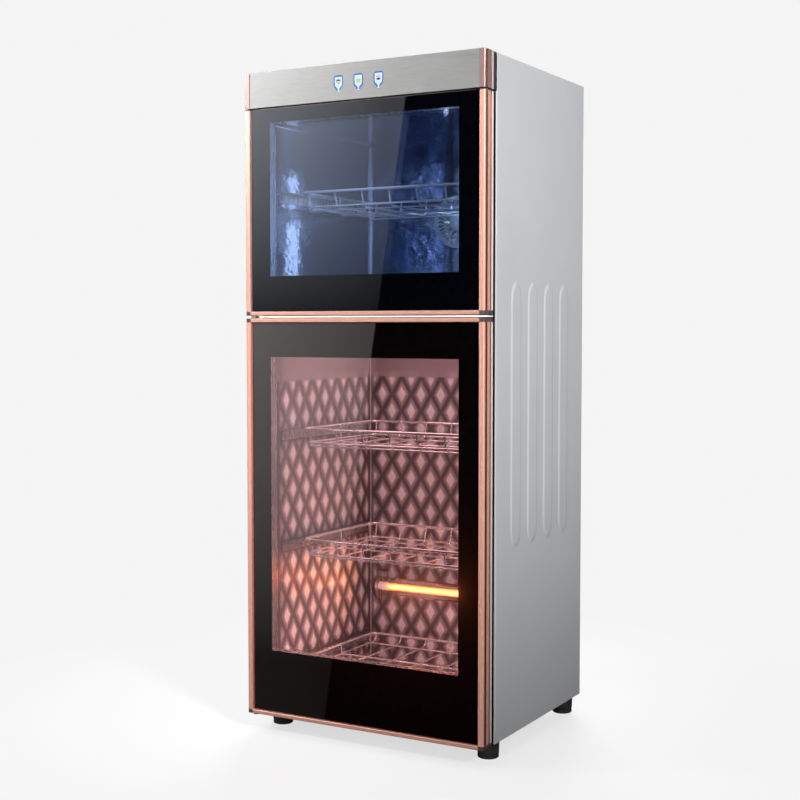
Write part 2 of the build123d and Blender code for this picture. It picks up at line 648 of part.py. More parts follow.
def hinge_plates():
    """Three steel plates with tongues for the pins. The upper two are fixed behind the front frame."""
    x0, x1 = PIN_X - HINGE_TONGUE / 2, PIN_X + HINGE_TONGUE / 2
    back = LINER_D + HINGE_FLANGE_SHEET
    made = []
    for z0, z1 in hinge_plate_heights():
        below_body = z1 <= FOOT_HEIGHT
        tongue_back = LINER_D + HINGE_TAIL if below_body else back
        tongue = block(x0, x1, HINGE_D - HINGE_NOSE_REACH, tongue_back, z0, z1)
        nose = tongue.edges().filter_by(Axis.Z).sort_by(Axis.Y)[:2]
        plate = fillet(nose, min(HINGE_NOSE, HINGE_TONGUE / 2 - FIT))
        if not below_body:
            low = (z0 + z1 - HINGE_FLANGE_HEIGHT) / 2
            plate += block(x0, x0 + HINGE_FLANGE_WIDTH, LINER_D, back, low, low + HINGE_FLANGE_HEIGHT)
        made.append(plate - rod_z(PIN_RADIUS + PLATE_CLEAR, PIN_X, HINGE_D, z0 - OVERCUT, z1 + OVERCUT))
    return made


def hinge_pins():
    """A pin for each plate; the one between the doors carries both."""
    under, between, over = hinge_plate_heights()
    spans = (
        (under[0], LOWER_DOOR_Z[0] + PIN_LENGTH),
        (LOWER_DOOR_Z[1] - PIN_LENGTH, UPPER_DOOR_Z[0] + PIN_LENGTH),
        (UPPER_DOOR_Z[1] - PIN_LENGTH, over[1]),
    )
    return [rod_z(PIN_RADIUS, PIN_X, HINGE_D, *span) for span in spans]


# ---------------------------------------------------------------- racks and runners
def rack(top_z, drop):
    """A welded wire rack: a heavy frame, floor wires from front to back and cross wires under them."""
    front, back = RACK_FRONT_D, RACK_BACK_D
    outline = RectangleRounded(2 * RACK_HALF, back - front, RACK_CORNER)
    place = Pos(0, FRONT + (front + back) / 2, top_z)
    path = (place * outline).wire()
    frame = sweep(Plane(origin=path @ 0, z_dir=path % 0) * Circle(FRAME_WIRE), path=path)
    inset = FRAME_WIRE + FLOOR_WIRE + WELD_GAP
    floor = top_z - drop
    side = RACK_HALF - inset
    wires = [frame]
    count = 1 + 2 * int((side - FLOOR_WIRE_MARGIN) / FLOOR_WIRE_PITCH)
    ends = (front + inset, back - inset)
    for i in range(count):
        x = (i - (count - 1) / 2) * FLOOR_WIRE_PITCH
        points = [
            (x, ends[0], top_z),
            (x, ends[0] + WIRE_LEAN, floor),
            (x, ends[1] - WIRE_LEAN, floor),
            (x, ends[1], top_z),
        ]
        wires.append(wire_along(points, FLOOR_WIRE, WIRE_BEND))
    under = floor - 2 * FLOOR_WIRE - WELD_GAP
    first = front + inset + WIRE_LEAN + WIRE_BEND
    step = (back - front - 2 * (inset + WIRE_LEAN + WIRE_BEND)) / (CROSS_WIRE_COUNT - 1)
    for i in range(CROSS_WIRE_COUNT):
        d = first + i * step
        points = [
            (-side, d, top_z),
            (-side + CROSS_LEAN, d, under),
            (side - CROSS_LEAN, d, under),
            (side, d, top_z),
        ]
        wires.append(wire_along(points, FLOOR_WIRE, CROSS_BEND))
    return wires


def runners(tops):
    """Folded ledges on both walls, one pair for each rack."""
    made = []
    d0, d1 = RUNNER_START_D, RUNNER_END_D
    for top_z in tops:
        seat = top_z - FRAME_WIRE - RUNNER_CLEAR
        ledge = block(RACK_HALF - RUNNER_LEDGE_INSET, CAVITY_HALF, d0, d1, seat - RUNNER_SHEET, seat)
        ledge += block(CAVITY_HALF - RUNNER_SHEET, CAVITY_HALF, d0, d1, seat - RUNNER_HEIGHT, seat)
        made += [ledge, mirrored(ledge)]
    return made


# ---------------------------------------------------------------- heater
def heater_tube():
    """Quartz tube, and the heating coil inside it as a plain bar of the coil's outer size."""
    half = HEATER_HALF
    bore = HEATER_TUBE_RADIUS - HEATER_TUBE_WALL
    tube = rod_x(HEATER_TUBE_RADIUS, -half, half, HEATER_D, HEATER_Z)
    tube -= rod_x(bore, -half - OVERCUT, half + OVERCUT, HEATER_D, HEATER_Z)
    return [tube, rod_x(HEATER_COIL_RADIUS, -half, half, HEATER_D, HEATER_Z)]


def heater_caps():
    """Ceramic caps on both tube ends, with a blind bore for the tube."""
    start = HEATER_HALF - HEATER_CAP_LENGTH / 2
    cap = rod_x(HEATER_CAP_RADIUS, start, HEATER_HALF + HEATER_CAP_LENGTH, HEATER_D, HEATER_Z)
    bore = HEATER_TUBE_RADIUS + FIT / 2
    cap -= rod_x(bore, HEATER_HALF - HEATER_CAP_LENGTH, HEATER_HALF + FIT, HEATER_D, HEATER_Z)
    return [cap, mirrored(cap)]


def heater_brackets():
    """Pressed plates on the back wall, each with a tab that holds a ceramic cap."""
    tab_x = HEATER_HALF + HEATER_CAP_LENGTH / 2
    z0, z1 = HEATER_Z - BRACKET_HEIGHT / 2, HEATER_Z + BRACKET_HEIGHT / 2
    back = CAVITY_BACK_D - WELD_GAP
    plate = block(tab_x, tab_x + BRACKET_WIDTH, back - BRACKET_SHEET, back, z0, z1)
    plate = fillet(plate.edges().filter_by(Axis.Y).sort_by(Axis.X)[-2:], BRACKET_CORNER)
    tab = block(tab_x, tab_x + BRACKET_SHEET, CAVITY_BACK_D - BRACKET_TAB_DEPTH, back, z0, z1)
    tab = fillet(tab.edges().filter_by(Axis.X).sort_by(Axis.Y)[:2], BRACKET_CORNER)
    past = (tab_x - OVERCUT, tab_x + BRACKET_SHEET + OVERCUT)
    right = plate + tab - rod_x(HEATER_CAP_RADIUS + FIT / 2, *past, HEATER_D, HEATER_Z)
    return [right, mirrored(right)]


def heater_reflector():
    """A polished trough behind the tube, held between the brackets."""
    half = HEATER_HALF + HEATER_CAP_LENGTH / 2 - FIT
    trough = rod_x(REFLECTOR_RADIUS, -half, half, HEATER_D, HEATER_Z)
    past = half + OVERCUT
    trough -= rod_x(REFLECTOR_RADIUS - REFLECTOR_SHEET, -past, past, HEATER_D, HEATER_Z)
    low, high = HEATER_Z - 2 * REFLECTOR_RADIUS, HEATER_Z + 2 * REFLECTOR_RADIUS
    return trough - block(-past, past, 0, HEATER_D + REFLECTOR_SHEET, low, high)


# ---------------------------------------------------------------- lamp
def lamp_tube():
    low, high = shrink(LAMP_Z, HOLDER_HEIGHT / 2)
    tube = rod_z(LAMP_RADIUS, LAMP_X, LAMP_D, low, high)
    return tube - rod_z(LAMP_RADIUS - LAMP_WALL, LAMP_X, LAMP_D, low - OVERCUT, high + OVERCUT)


def lamp_holders():
    """Moulded sockets on the back wall that grip both ends of the tube."""
    low, high = LAMP_Z
    half = HOLDER_WIDTH / 2
    bore_z = shrink(LAMP_Z, HOLDER_HEIGHT / 2 - FIT)
    bore = rod_z(LAMP_RADIUS + FIT / 2, LAMP_X, LAMP_D, *bore_z)
    made = []
    for z0 in (low, high - HOLDER_HEIGHT):
        back = CAVITY_BACK_D - WELD_GAP
        body = block(LAMP_X - half, LAMP_X + half, LAMP_D - half, back, z0, z0 + HOLDER_HEIGHT)
        made.append(fillet(body.edges().filter_by(Axis.Z).sort_by(Axis.Y)[:2], HOLDER_CORNER) - bore)
    return made


# ---------------------------------------------------------------- fan
def fan_hole():
    return rod_d(FAN_HOLE_RADIUS, FAN_X, CAVITY_BACK_D - OVERCUT, FAN_D + OVERCUT, FAN_Z)


def fan_guard():
    """Round cover over the fan hole, pierced by two rings of radial slots."""
    back = CAVITY_BACK_D - WELD_GAP
    disc = rod_d(GUARD_RADIUS, FAN_X, back - GUARD_SHEET, back, FAN_Z)
    slots = []
    spans = (
        (GUARD_SLOT_FROM, GUARD_RIB_RADIUS - GUARD_RIB / 2),
        (GUARD_RIB_RADIUS + GUARD_RIB / 2, GUARD_SLOT_TO),
    )
    for start, end in spans:
        for i in range(GUARD_SLOTS):
            plane = Plane(origin=(FAN_X, FRONT + back, FAN_Z), x_dir=(1, 0, 0), z_dir=(0, -1, 0))
            turn = Rot(0, 0, 360 * i / GUARD_SLOTS)
            shape = plane * turn * Pos((start + end) / 2, 0) * Rectangle(end - start, GUARD_SLOT_WIDTH)
            slots.append(extrude(shape, 2 * GUARD_SHEET, both=True))
    return disc - slots


def fan_motor():
    """Square fan frame with the motor in the middle, on four arms, and the shaft stub."""
    d0, d1 = FAN_D, FAN_D + FAN_DEPTH
    half = FAN_SIDE / 2
    frame = block(FAN_X - half, FAN_X + half, d0, d1, FAN_Z - half, FAN_Z + half)
    frame = fillet(frame.edges().filter_by(Axis.Y), FAN_CORNER)
    frame -= rod_d(FAN_HOLE_RADIUS, FAN_X, d0 - OVERCUT, d1 + OVERCUT, FAN_Z)
    arms_d = (d1 - FAN_ARM_DEPTH, d1)
    reach = FAN_HOLE_RADIUS + OVERCUT
    for turn in (45, 135):
        arm = Box(2 * reach, FAN_ARM_DEPTH, FAN_ARM)
        frame += Pos(FAN_X, FRONT + sum(arms_d) / 2, FAN_Z) * Rot(0, turn, 0) * arm
    frame += rod_d(FAN_HUB_RADIUS, FAN_X, *arms_d, FAN_Z)
    shaft_d = FAN_D + FAN_FRONT_GAP + FAN_BORE_FLOOR + FAN_HUB_GAP
    return frame + rod_d(FAN_SHAFT_RADIUS, FAN_X, shaft_d, d1, FAN_Z)


def fan_impeller():
    """Hub and pitched blades, turning on the shaft stub."""
    d0 = FAN_D + FAN_FRONT_GAP
    d1 = FAN_D + FAN_DEPTH - FAN_ARM_DEPTH - FAN_HUB_GAP
    tip = FAN_HOLE_RADIUS - FAN_TIP_CLEAR
    root = FAN_HUB_RADIUS - FAN_BLADE_ROOT
    pitched = Rot(90 - FAN_BLADE_PITCH, 0, 0) * Box(tip - root, FAN_BLADE_SHEET, d1 - d0)
    blade = Pos((root + tip) / 2, 0, 0) * pitched
    limit = rod_d(tip, FAN_X, d0, d1, FAN_Z)
    wheel = rod_d(FAN_HUB_RADIUS, FAN_X, d0, d1, FAN_Z)
    for i in range(FAN_BLADES):
        wheel += Pos(FAN_X, FRONT + (d0 + d1) / 2, FAN_Z) * Rot(0, 360 * i / FAN_BLADES, 0) * blade & limit
    return wheel - rod_d(FAN_SHAFT_RADIUS + FAN_SHAFT_CLEAR, FAN_X, d0 + FAN_BORE_FLOOR, d1 + OVERCUT, FAN_Z)


# ---------------------------------------------------------------- control panel
def key_places():
    return [KEY_FIRST_X + i * KEY_PITCH for i in range(KEY_COUNT)]


def key_shape(x, grow, d0, d1):
    plane = Plane(origin=(x, FRONT + d0, KEY_Z), x_dir=(1, 0, 0), z_dir=(0, 1, 0))
    face = RectangleRounded(KEY_SIZE[0] + 2 * grow, KEY_SIZE[1] + 2 * grow, KEY_CORNER + grow)
    return extrude(plane * face, d1 - d0)


def panel_fascia():
    """Brushed face plate with a window for each touch key."""
    plate = block(-GLASS_HALF, GLASS_HALF, GLASS_D, GLASS_D + FASCIA_SHEET, PANEL_BOTTOM, HEIGHT)
    for x in key_places():
        plate -= key_shape(x, KEY_CLEAR, 0, 2 * KEY_LENS)
    return plate


def touch_keys():
    """Translucent lenses of the touch keys, flush with the face plate. They don't travel."""
    return [key_shape(x, 0, GLASS_D, GLASS_D + KEY_LENS) for x in key_places()]


def panel_housing():
    """Moulded box behind the face plate, open at the back, with key openings in its front wall."""
    front = GLASS_D + FASCIA_SHEET + FIT / 2
    back = BODY_D - SHEET_CLEAR
    z0, z1 = PANEL_BOTTOM, HEIGHT
    wall = HOUSING_WALL
    box = block(-CORE_HALF, CORE_HALF, front, back, z0, z1)
    box += block(-BODY_HALF, BODY_HALF, DOOR_DEPTH + FIT, back, z0, z1)
    box -= block(-CORE_HALF + wall, CORE_HALF - wall, front + wall, back + OVERCUT, z0 + wall, z1 - wall)
    for x in key_places():
        box -= key_shape(x, KEY_CLEAR, 0, front + wall + OVERCUT)
    return box - top_hinge_slot(DOOR_DEPTH, back)


def top_hinge_slot(d0, d1):
    """Room for the top hinge plate in what stands in front of the body."""
    reach = HINGE_TONGUE / 2 + FIT
    plate_z = hinge_plate_heights()[2]
    return block(PIN_X - reach, PIN_X + reach, d0 - OVERCUT, d1 + OVERCUT, *shrink(plate_z, -FIT))


def panel_trims():
    """Lengths of the stile section at both ends of the control panel, closed at the top."""
    trim = Pos(0, 0, PANEL_BOTTOM) * extrude(stile_outline(), PANEL_HEIGHT, dir=(0, 0, 1))
    trim -= block(*stile_chamber(), PANEL_BOTTOM - OVERCUT, HEIGHT - STILE_WALL)
    return [trim, mirrored(trim) - top_hinge_slot(DOOR_DEPTH - STILE_WALL, DOOR_DEPTH)]


def control_board():
    """Key board on two posts from the housing's front wall."""
    width, height = CONTROL_BOARD_SIZE
    front = GLASS_D + FASCIA_SHEET + FIT / 2 + HOUSING_WALL
    d0 = front + CONTROL_POST_HEIGHT
    d1 = d0 + BOARD
    board = block(-width / 2, width / 2, d0, d1, KEY_Z - height / 2, KEY_Z + height / 2)
    for side in (-1, 1):
        board += rod_d(POST_RADIUS, side * (width / 2 - POST_INSET), front, d0, KEY_Z)
    for x, (wide, high, deep) in ((-CONTROL_PART_X, CONTROL_CHIP), (CONTROL_PART_X, CONTROL_PLUG)):
        board += block(x - wide / 2, x + wide / 2, d1, d1 + deep, KEY_Z - high / 2, KEY_Z + high / 2)
    return board


def power_board():
    """Mains board on posts on top of the upper compartment, with its transformer and a capacitor."""
    width, depth = POWER_BOARD_SIZE
    seat = UPPER_CAVITY[1] + LINER_SHEET
    z0, z1 = seat + POST_HEIGHT, seat + POST_HEIGHT + BOARD
    x, d = POWER_BOARD_X, POWER_BOARD_D
    board = block(x - width / 2, x + width / 2, d - depth / 2, d + depth / 2, z0, z1)
    for side_x in (-1, 1):
        for side_d in (-1, 1):
            post_x = x + side_x * (width / 2 - POST_INSET)
            board += rod_z(POST_RADIUS, post_x, d + side_d * (depth / 2 - POST_INSET), seat, z0)
    wide, deep, high = TRANSFORMER
    left = x - POWER_PART_X
    board += block(left - wide / 2, left + wide / 2, d - deep / 2, d + deep / 2, z1, z1 + high)
    return board + rod_z(CAPACITOR_RADIUS, x + POWER_PART_X, d, z1, z1 + CAPACITOR_HEIGHT)


def ozone_generator():
    """Closed box with a spout, on top of the upper compartment."""
    width, depth, height = OZONE_BOX
    seat = UPPER_CAVITY[1] + LINER_SHEET
    top = seat + height
    x, d = OZONE_X, OZONE_D
    box = block(x - width / 2, x + width / 2, d - depth / 2, d + depth / 2, seat, top)
    box = fillet(box.edges().filter_by(Axis.Z), OZONE_CORNER)
    return box + rod_z(OZONE_SPOUT_RADIUS, x, d, top, top + OZONE_SPOUT)


def thermal_cutouts():
    """Two snap-disc thermostats on the back of the lower compartment."""
    seat = CAVITY_BACK_D + LINER_SHEET
    wide, deep, high = CUTOUT_TERMINALS
    middle = seat + CUTOUT_HEIGHT / 2
    tabs_z = (CUTOUT_Z - high / 2, CUTOUT_Z + high / 2)
    made = []
    for x in (-CUTOUT_SIDE, CUTOUT_SIDE):
        disc = rod_d(CUTOUT_RADIUS, x, seat, seat + CUTOUT_HEIGHT, CUTOUT_Z)
        tabs = block(x - wide / 2, x + wide / 2, middle, middle + deep, *tabs_z)
        made.append(disc + tabs)
    return made


def mains_gland():
    """Cable gland in the rear sheet: a flange outside, a barrel through it and a nut inside."""
    outside = REAR_D + SHEET
    end = outside + GLAND_FLANGE
    gland = rod_d(GLAND_RADIUS, GLAND_X, end - GLAND_LENGTH, end, GLAND_Z)
    gland += rod_d(GLAND_FLANGE_RADIUS, GLAND_X, outside, end, GLAND_Z)
    gland += rod_d(GLAND_FLANGE_RADIUS, GLAND_X, REAR_D - GLAND_FLANGE, REAR_D, GLAND_Z)
    return gland - rod_d(GLAND_BORE, GLAND_X, end - GLAND_LENGTH - OVERCUT, end + OVERCUT, GLAND_Z)


# ---------------------------------------------------------------- assembly
def all_nodes():
    nodes = {
        "base_pan": base_pan(),
        "side_panel_left": left_side_panel(),
        "side_panel_right": side_panel(),
        "top_cover": top_cover(),
        "rear_panel": rear_panel(),
        "front_frame": front_frame(),
        "middle_trim": middle_trim(),
        "door_switches": door_switches(),
        "upper_liner": liner_wrap(UPPER_CAVITY),
        "upper_liner_back": liner_back(UPPER_CAVITY) - fan_hole(),
        "lower_liner": liner_wrap(LOWER_CAVITY),
        "lower_liner_back": liner_back(LOWER_CAVITY),
        "lower_insulation": insulation(),
        "feet": feet(),
        "foot_screws": foot_screws(),
        "hinge_plates": hinge_plates(),
        "hinge_pins": hinge_pins(),
        "upper_rack_runners": runners(UPPER_RACKS_Z.values()),
        "lower_rack_runners": runners(LOWER_RACKS_Z.values()),
        "heater_tube": heater_tube(),
        "heater_end_caps": heater_caps(),
        "heater_brackets": heater_brackets(),
        "heater_reflector": heater_reflector(),
        "uv_lamp_tube": lamp_tube(),
        "uv_lamp_holders": lamp_holders(),
        "fan_guard": fan_guard(),
        "fan_motor": fan_motor(),
        "fan_impeller": fan_impeller(),
        "panel_fascia": panel_fascia(),
        "panel_housing": panel_housing(),
        "panel_end_trims": panel_trims(),
        "touch_keys": touch_keys(),
        "control_board": control_board(),
        "power_board": power_board(),
        "ozone_generator": ozone_generator(),
        "thermal_cutouts": thermal_cutouts(),
        "mains_gland": mains_gland(),
    }
    for name, top_z in {**UPPER_RACKS_Z, **LOWER_RACKS_Z}.items():
        nodes[name] = rack(top_z, FLAT_RACK_DROP if name == "lower_rack_bottom" else DEEP_RACK_DROP)
    nodes |= door("upper_door", UPPER_DOOR_Z, UPPER_WINDOW, glass_to_top=True)
    nodes |= door("lower_door", LOWER_DOOR_Z, LOWER_WINDOW, glass_to_top=False)
    return nodes


def main():
    os.makedirs("parts", exist_ok=True)
    for name, shape in all_nodes().items():
        pieces = shape if isinstance(shape, list) else [shape]
        solids = [solid for piece in pieces for solid in piece.solids()]
        whole = solids[0] if len(solids) == 1 else Compound(children=solids)
        export_step(whole, f"parts/{name}.step")


main()
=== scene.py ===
import math

import bmesh
import bpy
from mathutils import Matrix, Vector


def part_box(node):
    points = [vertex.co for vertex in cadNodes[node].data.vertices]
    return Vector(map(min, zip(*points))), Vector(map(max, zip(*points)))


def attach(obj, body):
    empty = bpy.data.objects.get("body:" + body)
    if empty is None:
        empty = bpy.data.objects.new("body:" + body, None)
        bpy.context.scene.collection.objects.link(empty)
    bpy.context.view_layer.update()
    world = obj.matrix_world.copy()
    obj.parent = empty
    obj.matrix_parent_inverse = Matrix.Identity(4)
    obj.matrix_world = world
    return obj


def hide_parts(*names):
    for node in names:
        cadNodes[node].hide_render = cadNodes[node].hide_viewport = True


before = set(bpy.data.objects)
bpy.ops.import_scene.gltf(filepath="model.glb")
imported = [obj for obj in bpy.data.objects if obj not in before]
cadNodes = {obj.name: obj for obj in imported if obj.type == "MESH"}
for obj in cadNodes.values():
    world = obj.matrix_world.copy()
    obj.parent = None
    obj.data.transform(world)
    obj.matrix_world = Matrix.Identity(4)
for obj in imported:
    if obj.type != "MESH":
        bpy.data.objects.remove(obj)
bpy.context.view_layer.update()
print("frame loaded:", len(cadNodes), "nodes")

# heights and depths shared by several pieces, in metres; depth is measured back from the door faces
doorFace = -0.2
doors = {
    "upper": {"glass": "upper_door_outer_glass", "window": (0.7795, 1.0355)},
    "lower": {"glass": "lower_door_outer_glass", "window": (0.1435, 0.644)},
}
windowHalf = 0.178
cavityHalf = 0.195
cavityBack = 0.162
lowerCavity = (0.060, 0.686)
upperCavity = (0.736, 1.040)


# mesh helpers
def clamp(value):
    return max(0.0, min(1.0, value))


def soft(value):
    # eases in and out between 0 and 1
    value = clamp(value)
    return value * value * (3 - 2 * value)


def shade(mesh, smooth, degrees):
    for face in mesh.polygons:
        face.use_smooth = smooth
    mesh.set_sharp_from_angle(angle=math.radians(degrees))


def keepPiece(name, bm, finish, body, nodes=(), smooth=35):
    # turns a bmesh into a piece that rides on a body; nodes are the solids that it replaces
    bmesh.ops.remove_doubles(bm, verts=bm.verts, dist=1e-6)
    bmesh.ops.recalc_face_normals(bm, faces=bm.faces)
    mesh = bpy.data.meshes.new(name)
    bm.to_mesh(mesh)
    bm.free()
    piece = bpy.data.objects.new(name, mesh)
    bpy.context.scene.collection.objects.link(piece)
    mesh.materials.append(finishes[finish])
    if smooth:
        shade(mesh, True, smooth)
    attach(piece, body)
    if nodes:
        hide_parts(*nodes)


def addBox(bm, low, high, bevel, segments=1):
    made = bmesh.ops.create_cube(bm, size=1.0)["verts"]
    for v in made:
        v.co = Vector([low[i] + (v.co[i] + 0.5) * (high[i] - low[i]) for i in range(3)])
    edges = list({e for v in made for e in v.link_edges})
    bmesh.ops.bevel(bm, geom=edges, offset=bevel, segments=segments, profile=0.5, affect="EDGES")


def addSideBox(bm, side, across, depths, heights, bevel):
    # a box on the left or the right side; across is measured from the middle of the cabinet
    near, far = sorted((side * across[0], side * across[1]))
    addBox(bm, (near, depths[0], heights[0]), (far, depths[1], heights[1]), bevel)


def joinRings(bm, one, two):
    # a closed band of faces between two rings with as many points
    for k in range(len(one)):
        n = (k + 1) % len(one)
        bm.faces.new((one[k], one[n], two[n], two[k]))


def joinGrid(bm, grid):
    for one, two in zip(grid, grid[1:]):
        for k in range(len(one) - 1):
            bm.faces.new((one[k], one[k + 1], two[k + 1], two[k]))


def closeSheet(bm, grid, behind):
    # walls from the rim of a grid to a flat back; behind gives the back's point for a point of the rim
    rim = grid[0] + [line[-1] for line in grid[1:]] + grid[-1][-2::-1] + [line[0] for line in grid[-2:0:-1]]
    far = [bm.verts.new(behind(v.co)) for v in rim]
    joinRings(bm, far, rim)
    bm.faces.new(list(reversed(far)))


def roundPath(points, radius, cuts=5, closed=False):
    # cuts each corner of a run of points with an arc-like curve
    count = len(points)
    path = []
    for i in range(count):
        here = Vector(points[i])
        if not closed and i in (0, count - 1):
            path.append(here)
            continue
        before, after = Vector(points[i - 1]), Vector(points[(i + 1) % count])
        into, away = (before - here), (after - here)
        cut = min(radius, into.length * 0.49, away.length * 0.49)
        start, end = here + into.normalized() * cut, here + away.normalized() * cut
        for k in range(cuts + 1):
            t = k / cuts
            path.append(start * (1 - t) ** 2 + here * 2 * t * (1 - t) + end * t * t)
    return path


def addWire(bm, path, radius, sides=10, closed=False):
    # a round wire along points, with frames carried along so that it doesn't twist
    count = len(path)
    tangents = []
    for i in range(count):
        a = path[i - 1] if (closed or i > 0) else path[i]
        b = path[(i + 1) % count] if (closed or i < count - 1) else path[i]
        tangents.append((b - a).normalized())
    across = tangents[0].orthogonal().normalized()
    rings = []
    for i in range(count):
        across = (across - tangents[i] * across.dot(tangents[i])).normalized()
        up = tangents[i].cross(across)
        turns = [2 * math.pi * k / sides for k in range(sides)]
        rings.append([bm.verts.new(path[i] + across * math.cos(t) * radius + up * math.sin(t) * radius)
                      for t in turns])
    if closed:
        # the last ring meets the first one with the smallest twist
        first = rings[0]
        shift = min(range(sides), key=lambda s: (rings[-1][0].co - first[s].co).length)
        joinRings(bm, rings[-1], first[shift:] + first[:shift])
    else:
        bm.faces.new(list(reversed(rings[0])))
        bm.faces.new(rings[-1])
    for one, two in zip(rings, rings[1:]):
        joinRings(bm, one, two)


def addTurned(bm, profile, centre, axis="z", steps=32):
    # turns a profile of (radius, height) about an axis through centre
    turn = {
        "z": Matrix.Identity(3),
        "x": Matrix.Rotation(math.pi / 2, 3, "Y"),
        "y": Matrix.Rotation(-math.pi / 2, 3, "X"),
    }[axis]
    rings = []
    for radius, height in profile:
        angles = [2 * math.pi * k / steps for k in range(steps)] if radius > 1e-7 else [0.0]
        rings.append([bm.verts.new(Vector(centre) + turn @ Vector((radius * math.cos(a), radius * math.sin(a),
                                                                   height)))
                      for a in angles])
    for one, two in zip(rings, rings[1:]):
        if len(one) == len(two):
            joinRings(bm, one, two)
            continue
        tip, ring = (one[0], two) if len(one) == 1 else (two[0], one)
        for k in range(steps):
            bm.faces.new((tip, ring[k], ring[(k + 1) % steps]))
    for ring in (list(reversed(rings[0])), rings[-1]):
        if len(ring) > 1:
            bm.faces.new(ring)


def addRing(bm, outer, inner, d0, d1):
    # an upright rectangular ring; outer and inner are (half width, low, high)
    loops = []
    for half, low, high in (outer, inner):
        for depth in (d0, d1):
            corners = ((-half, low), (half, low), (half, high), (-half, high))
            loops.append([bm.verts.new((x, doorFace + depth, z)) for x, z in corners])
    outFront, outBack, inFront, inBack = loops
    for one, two in ((outFront, inFront), (inFront, inBack), (inBack, outBack), (outBack, outFront)):
        joinRings(bm, one, two)


# finishes
def newFinish(name):
    material = bpy.data.materials.new(name)
    material.use_nodes = True
    tree = material.node_tree
    tree.nodes.clear()
    output = tree.nodes.new("ShaderNodeOutputMaterial")
    shader = tree.nodes.new("ShaderNodeBsdfPrincipled")
    tree.links.new(shader.outputs[0], output.inputs[0])
    return material, tree, shader


def stretched(tree, stretch):
    place = tree.nodes.new("ShaderNodeTexCoord")
    mapping = tree.nodes.new("ShaderNodeMapping")
    mapping.inputs["Scale"].default_value = stretch
    tree.links.new(place.outputs["Object"], mapping.inputs["Vector"])
    return mapping.outputs[0]


def noise(tree, scale, stretch=(1, 1, 1), detail=3.0, rough=0.5):
    made = tree.nodes.new("ShaderNodeTexNoise")
    made.inputs["Scale"].default_value = scale
    made.inputs["Detail"].default_value = detail
    made.inputs["Roughness"].default_value = rough
    tree.links.new(stretched(tree, stretch), made.inputs["Vector"])
    return made.outputs["Fac"]


def ramp(tree, source, stops):
    made = tree.nodes.new("ShaderNodeValToRGB")
    bar = made.color_ramp
    while len(bar.elements) < len(stops):
        bar.elements.new(0.5)
    for element, (place, colour) in zip(bar.elements, stops):
        element.position = place
        element.color = (*colour, 1) if len(colour) == 3 else colour
    tree.links.new(source, made.inputs[0])
    return made.outputs[0]


def span(tree, source, low, high, fromLow=0.3, fromHigh=0.7):
    made = tree.nodes.new("ShaderNodeMapRange")
    made.inputs["From Min"].default_value = fromLow
    made.inputs["From Max"].default_value = fromHigh
    made.inputs["To Min"].default_value = low
    made.inputs["To Max"].default_value = high
    tree.links.new(source, made.inputs[0])
    return made.outputs[0]


def bump(tree, shader, sources):
    # each source is (height, depth in metres, strength); they add up
    normal = None
    for height, depth, strength in sources:
        made = tree.nodes.new("ShaderNodeBump")
        made.inputs["Distance"].default_value = depth
        made.inputs["Strength"].default_value = strength
        tree.links.new(height, made.inputs["Height"])
        if normal is not None:
            tree.links.new(normal, made.inputs["Normal"])
        normal = made.outputs[0]
    tree.links.new(normal, shader.inputs["Normal"])


def surface(name, dark, light, rough, metallic=0.0, mottle=30.0, grain=1500.0, grainDepth=0.00003,
            stretch=(1, 1, 1), coat=0.0, specular=0.5, strength=0.4):
    # colour and gloss that drift over the surface, with a fine grain
    material, tree, shader = newFinish(name)
    tree.links.new(ramp(tree, noise(tree, mottle, stretch, 4.0), ((0.32, dark), (0.68, light))),
                   shader.inputs["Base Color"])
    tree.links.new(span(tree, noise(tree, mottle * 1.7, stretch, 4.0, 0.6), *rough), shader.inputs["Roughness"])
    shader.inputs["Metallic"].default_value = metallic
    shader.inputs["Specular IOR Level"].default_value = specular
    shader.inputs["Coat Weight"].default_value = coat
    shader.inputs["Coat Roughness"].default_value = 0.08
    bump(tree, shader, ((noise(tree, grain, stretch, 2.0), grainDepth, strength),))
    return material


def anodised(name, dark, light, along, rough=(0.262, 0.278), metallic=0.75, lineStrength=0.005, strips=()):
    # satin metal with fine lines along one axis; each strip is (from depth, to depth, colour), painted by depth
    # across the side of the part: dark strips are painted shade in the grooves, a pale strip is a painted highlight
    stretch = {"x": (0.02, 1, 1), "y": (1, 0.02, 1), "z": (1, 1, 0.02)}[along]
    material, tree, shader = newFinish(name)
    lines = noise(tree, 2600.0, stretch, 4.0, 0.7)
    colour = ramp(tree, lines, ((0.3, dark), (0.7, light)))
    for strip in strips:
        parts = tree.nodes.new("ShaderNodeSeparateXYZ")
        tree.links.new(stretched(tree, (1, 1, 1)), parts.inputs[0])
        depth = span(tree, parts.outputs[1], 0.0, 1.0, doorFace, doorFace + 0.031)
        start, end = strip[0] / 0.031, strip[1] / 0.031
        mask = ramp(tree, depth, ((start - 0.01, (0, 0, 0)), (start, (1, 1, 1)), (end, (1, 1, 1)),
                                  (end + 0.01, (0, 0, 0))))
        mix = tree.nodes.new("ShaderNodeMix")
        mix.data_type = "RGBA"
        mix.inputs["B"].default_value = (*strip[2], 1)
        tree.links.new(mask, mix.inputs["Factor"])
        tree.links.new(colour, mix.inputs["A"])
        colour = mix.outputs["Result"]
    tree.links.new(colour, shader.inputs["Base Color"])
    tree.links.new(span(tree, noise(tree, 900.0, stretch, 3.0), *rough), shader.inputs["Roughness"])
    shader.inputs["Metallic"].default_value = metallic
    bump(tree, shader, ((lines, 0.00002, lineStrength),))
    return material


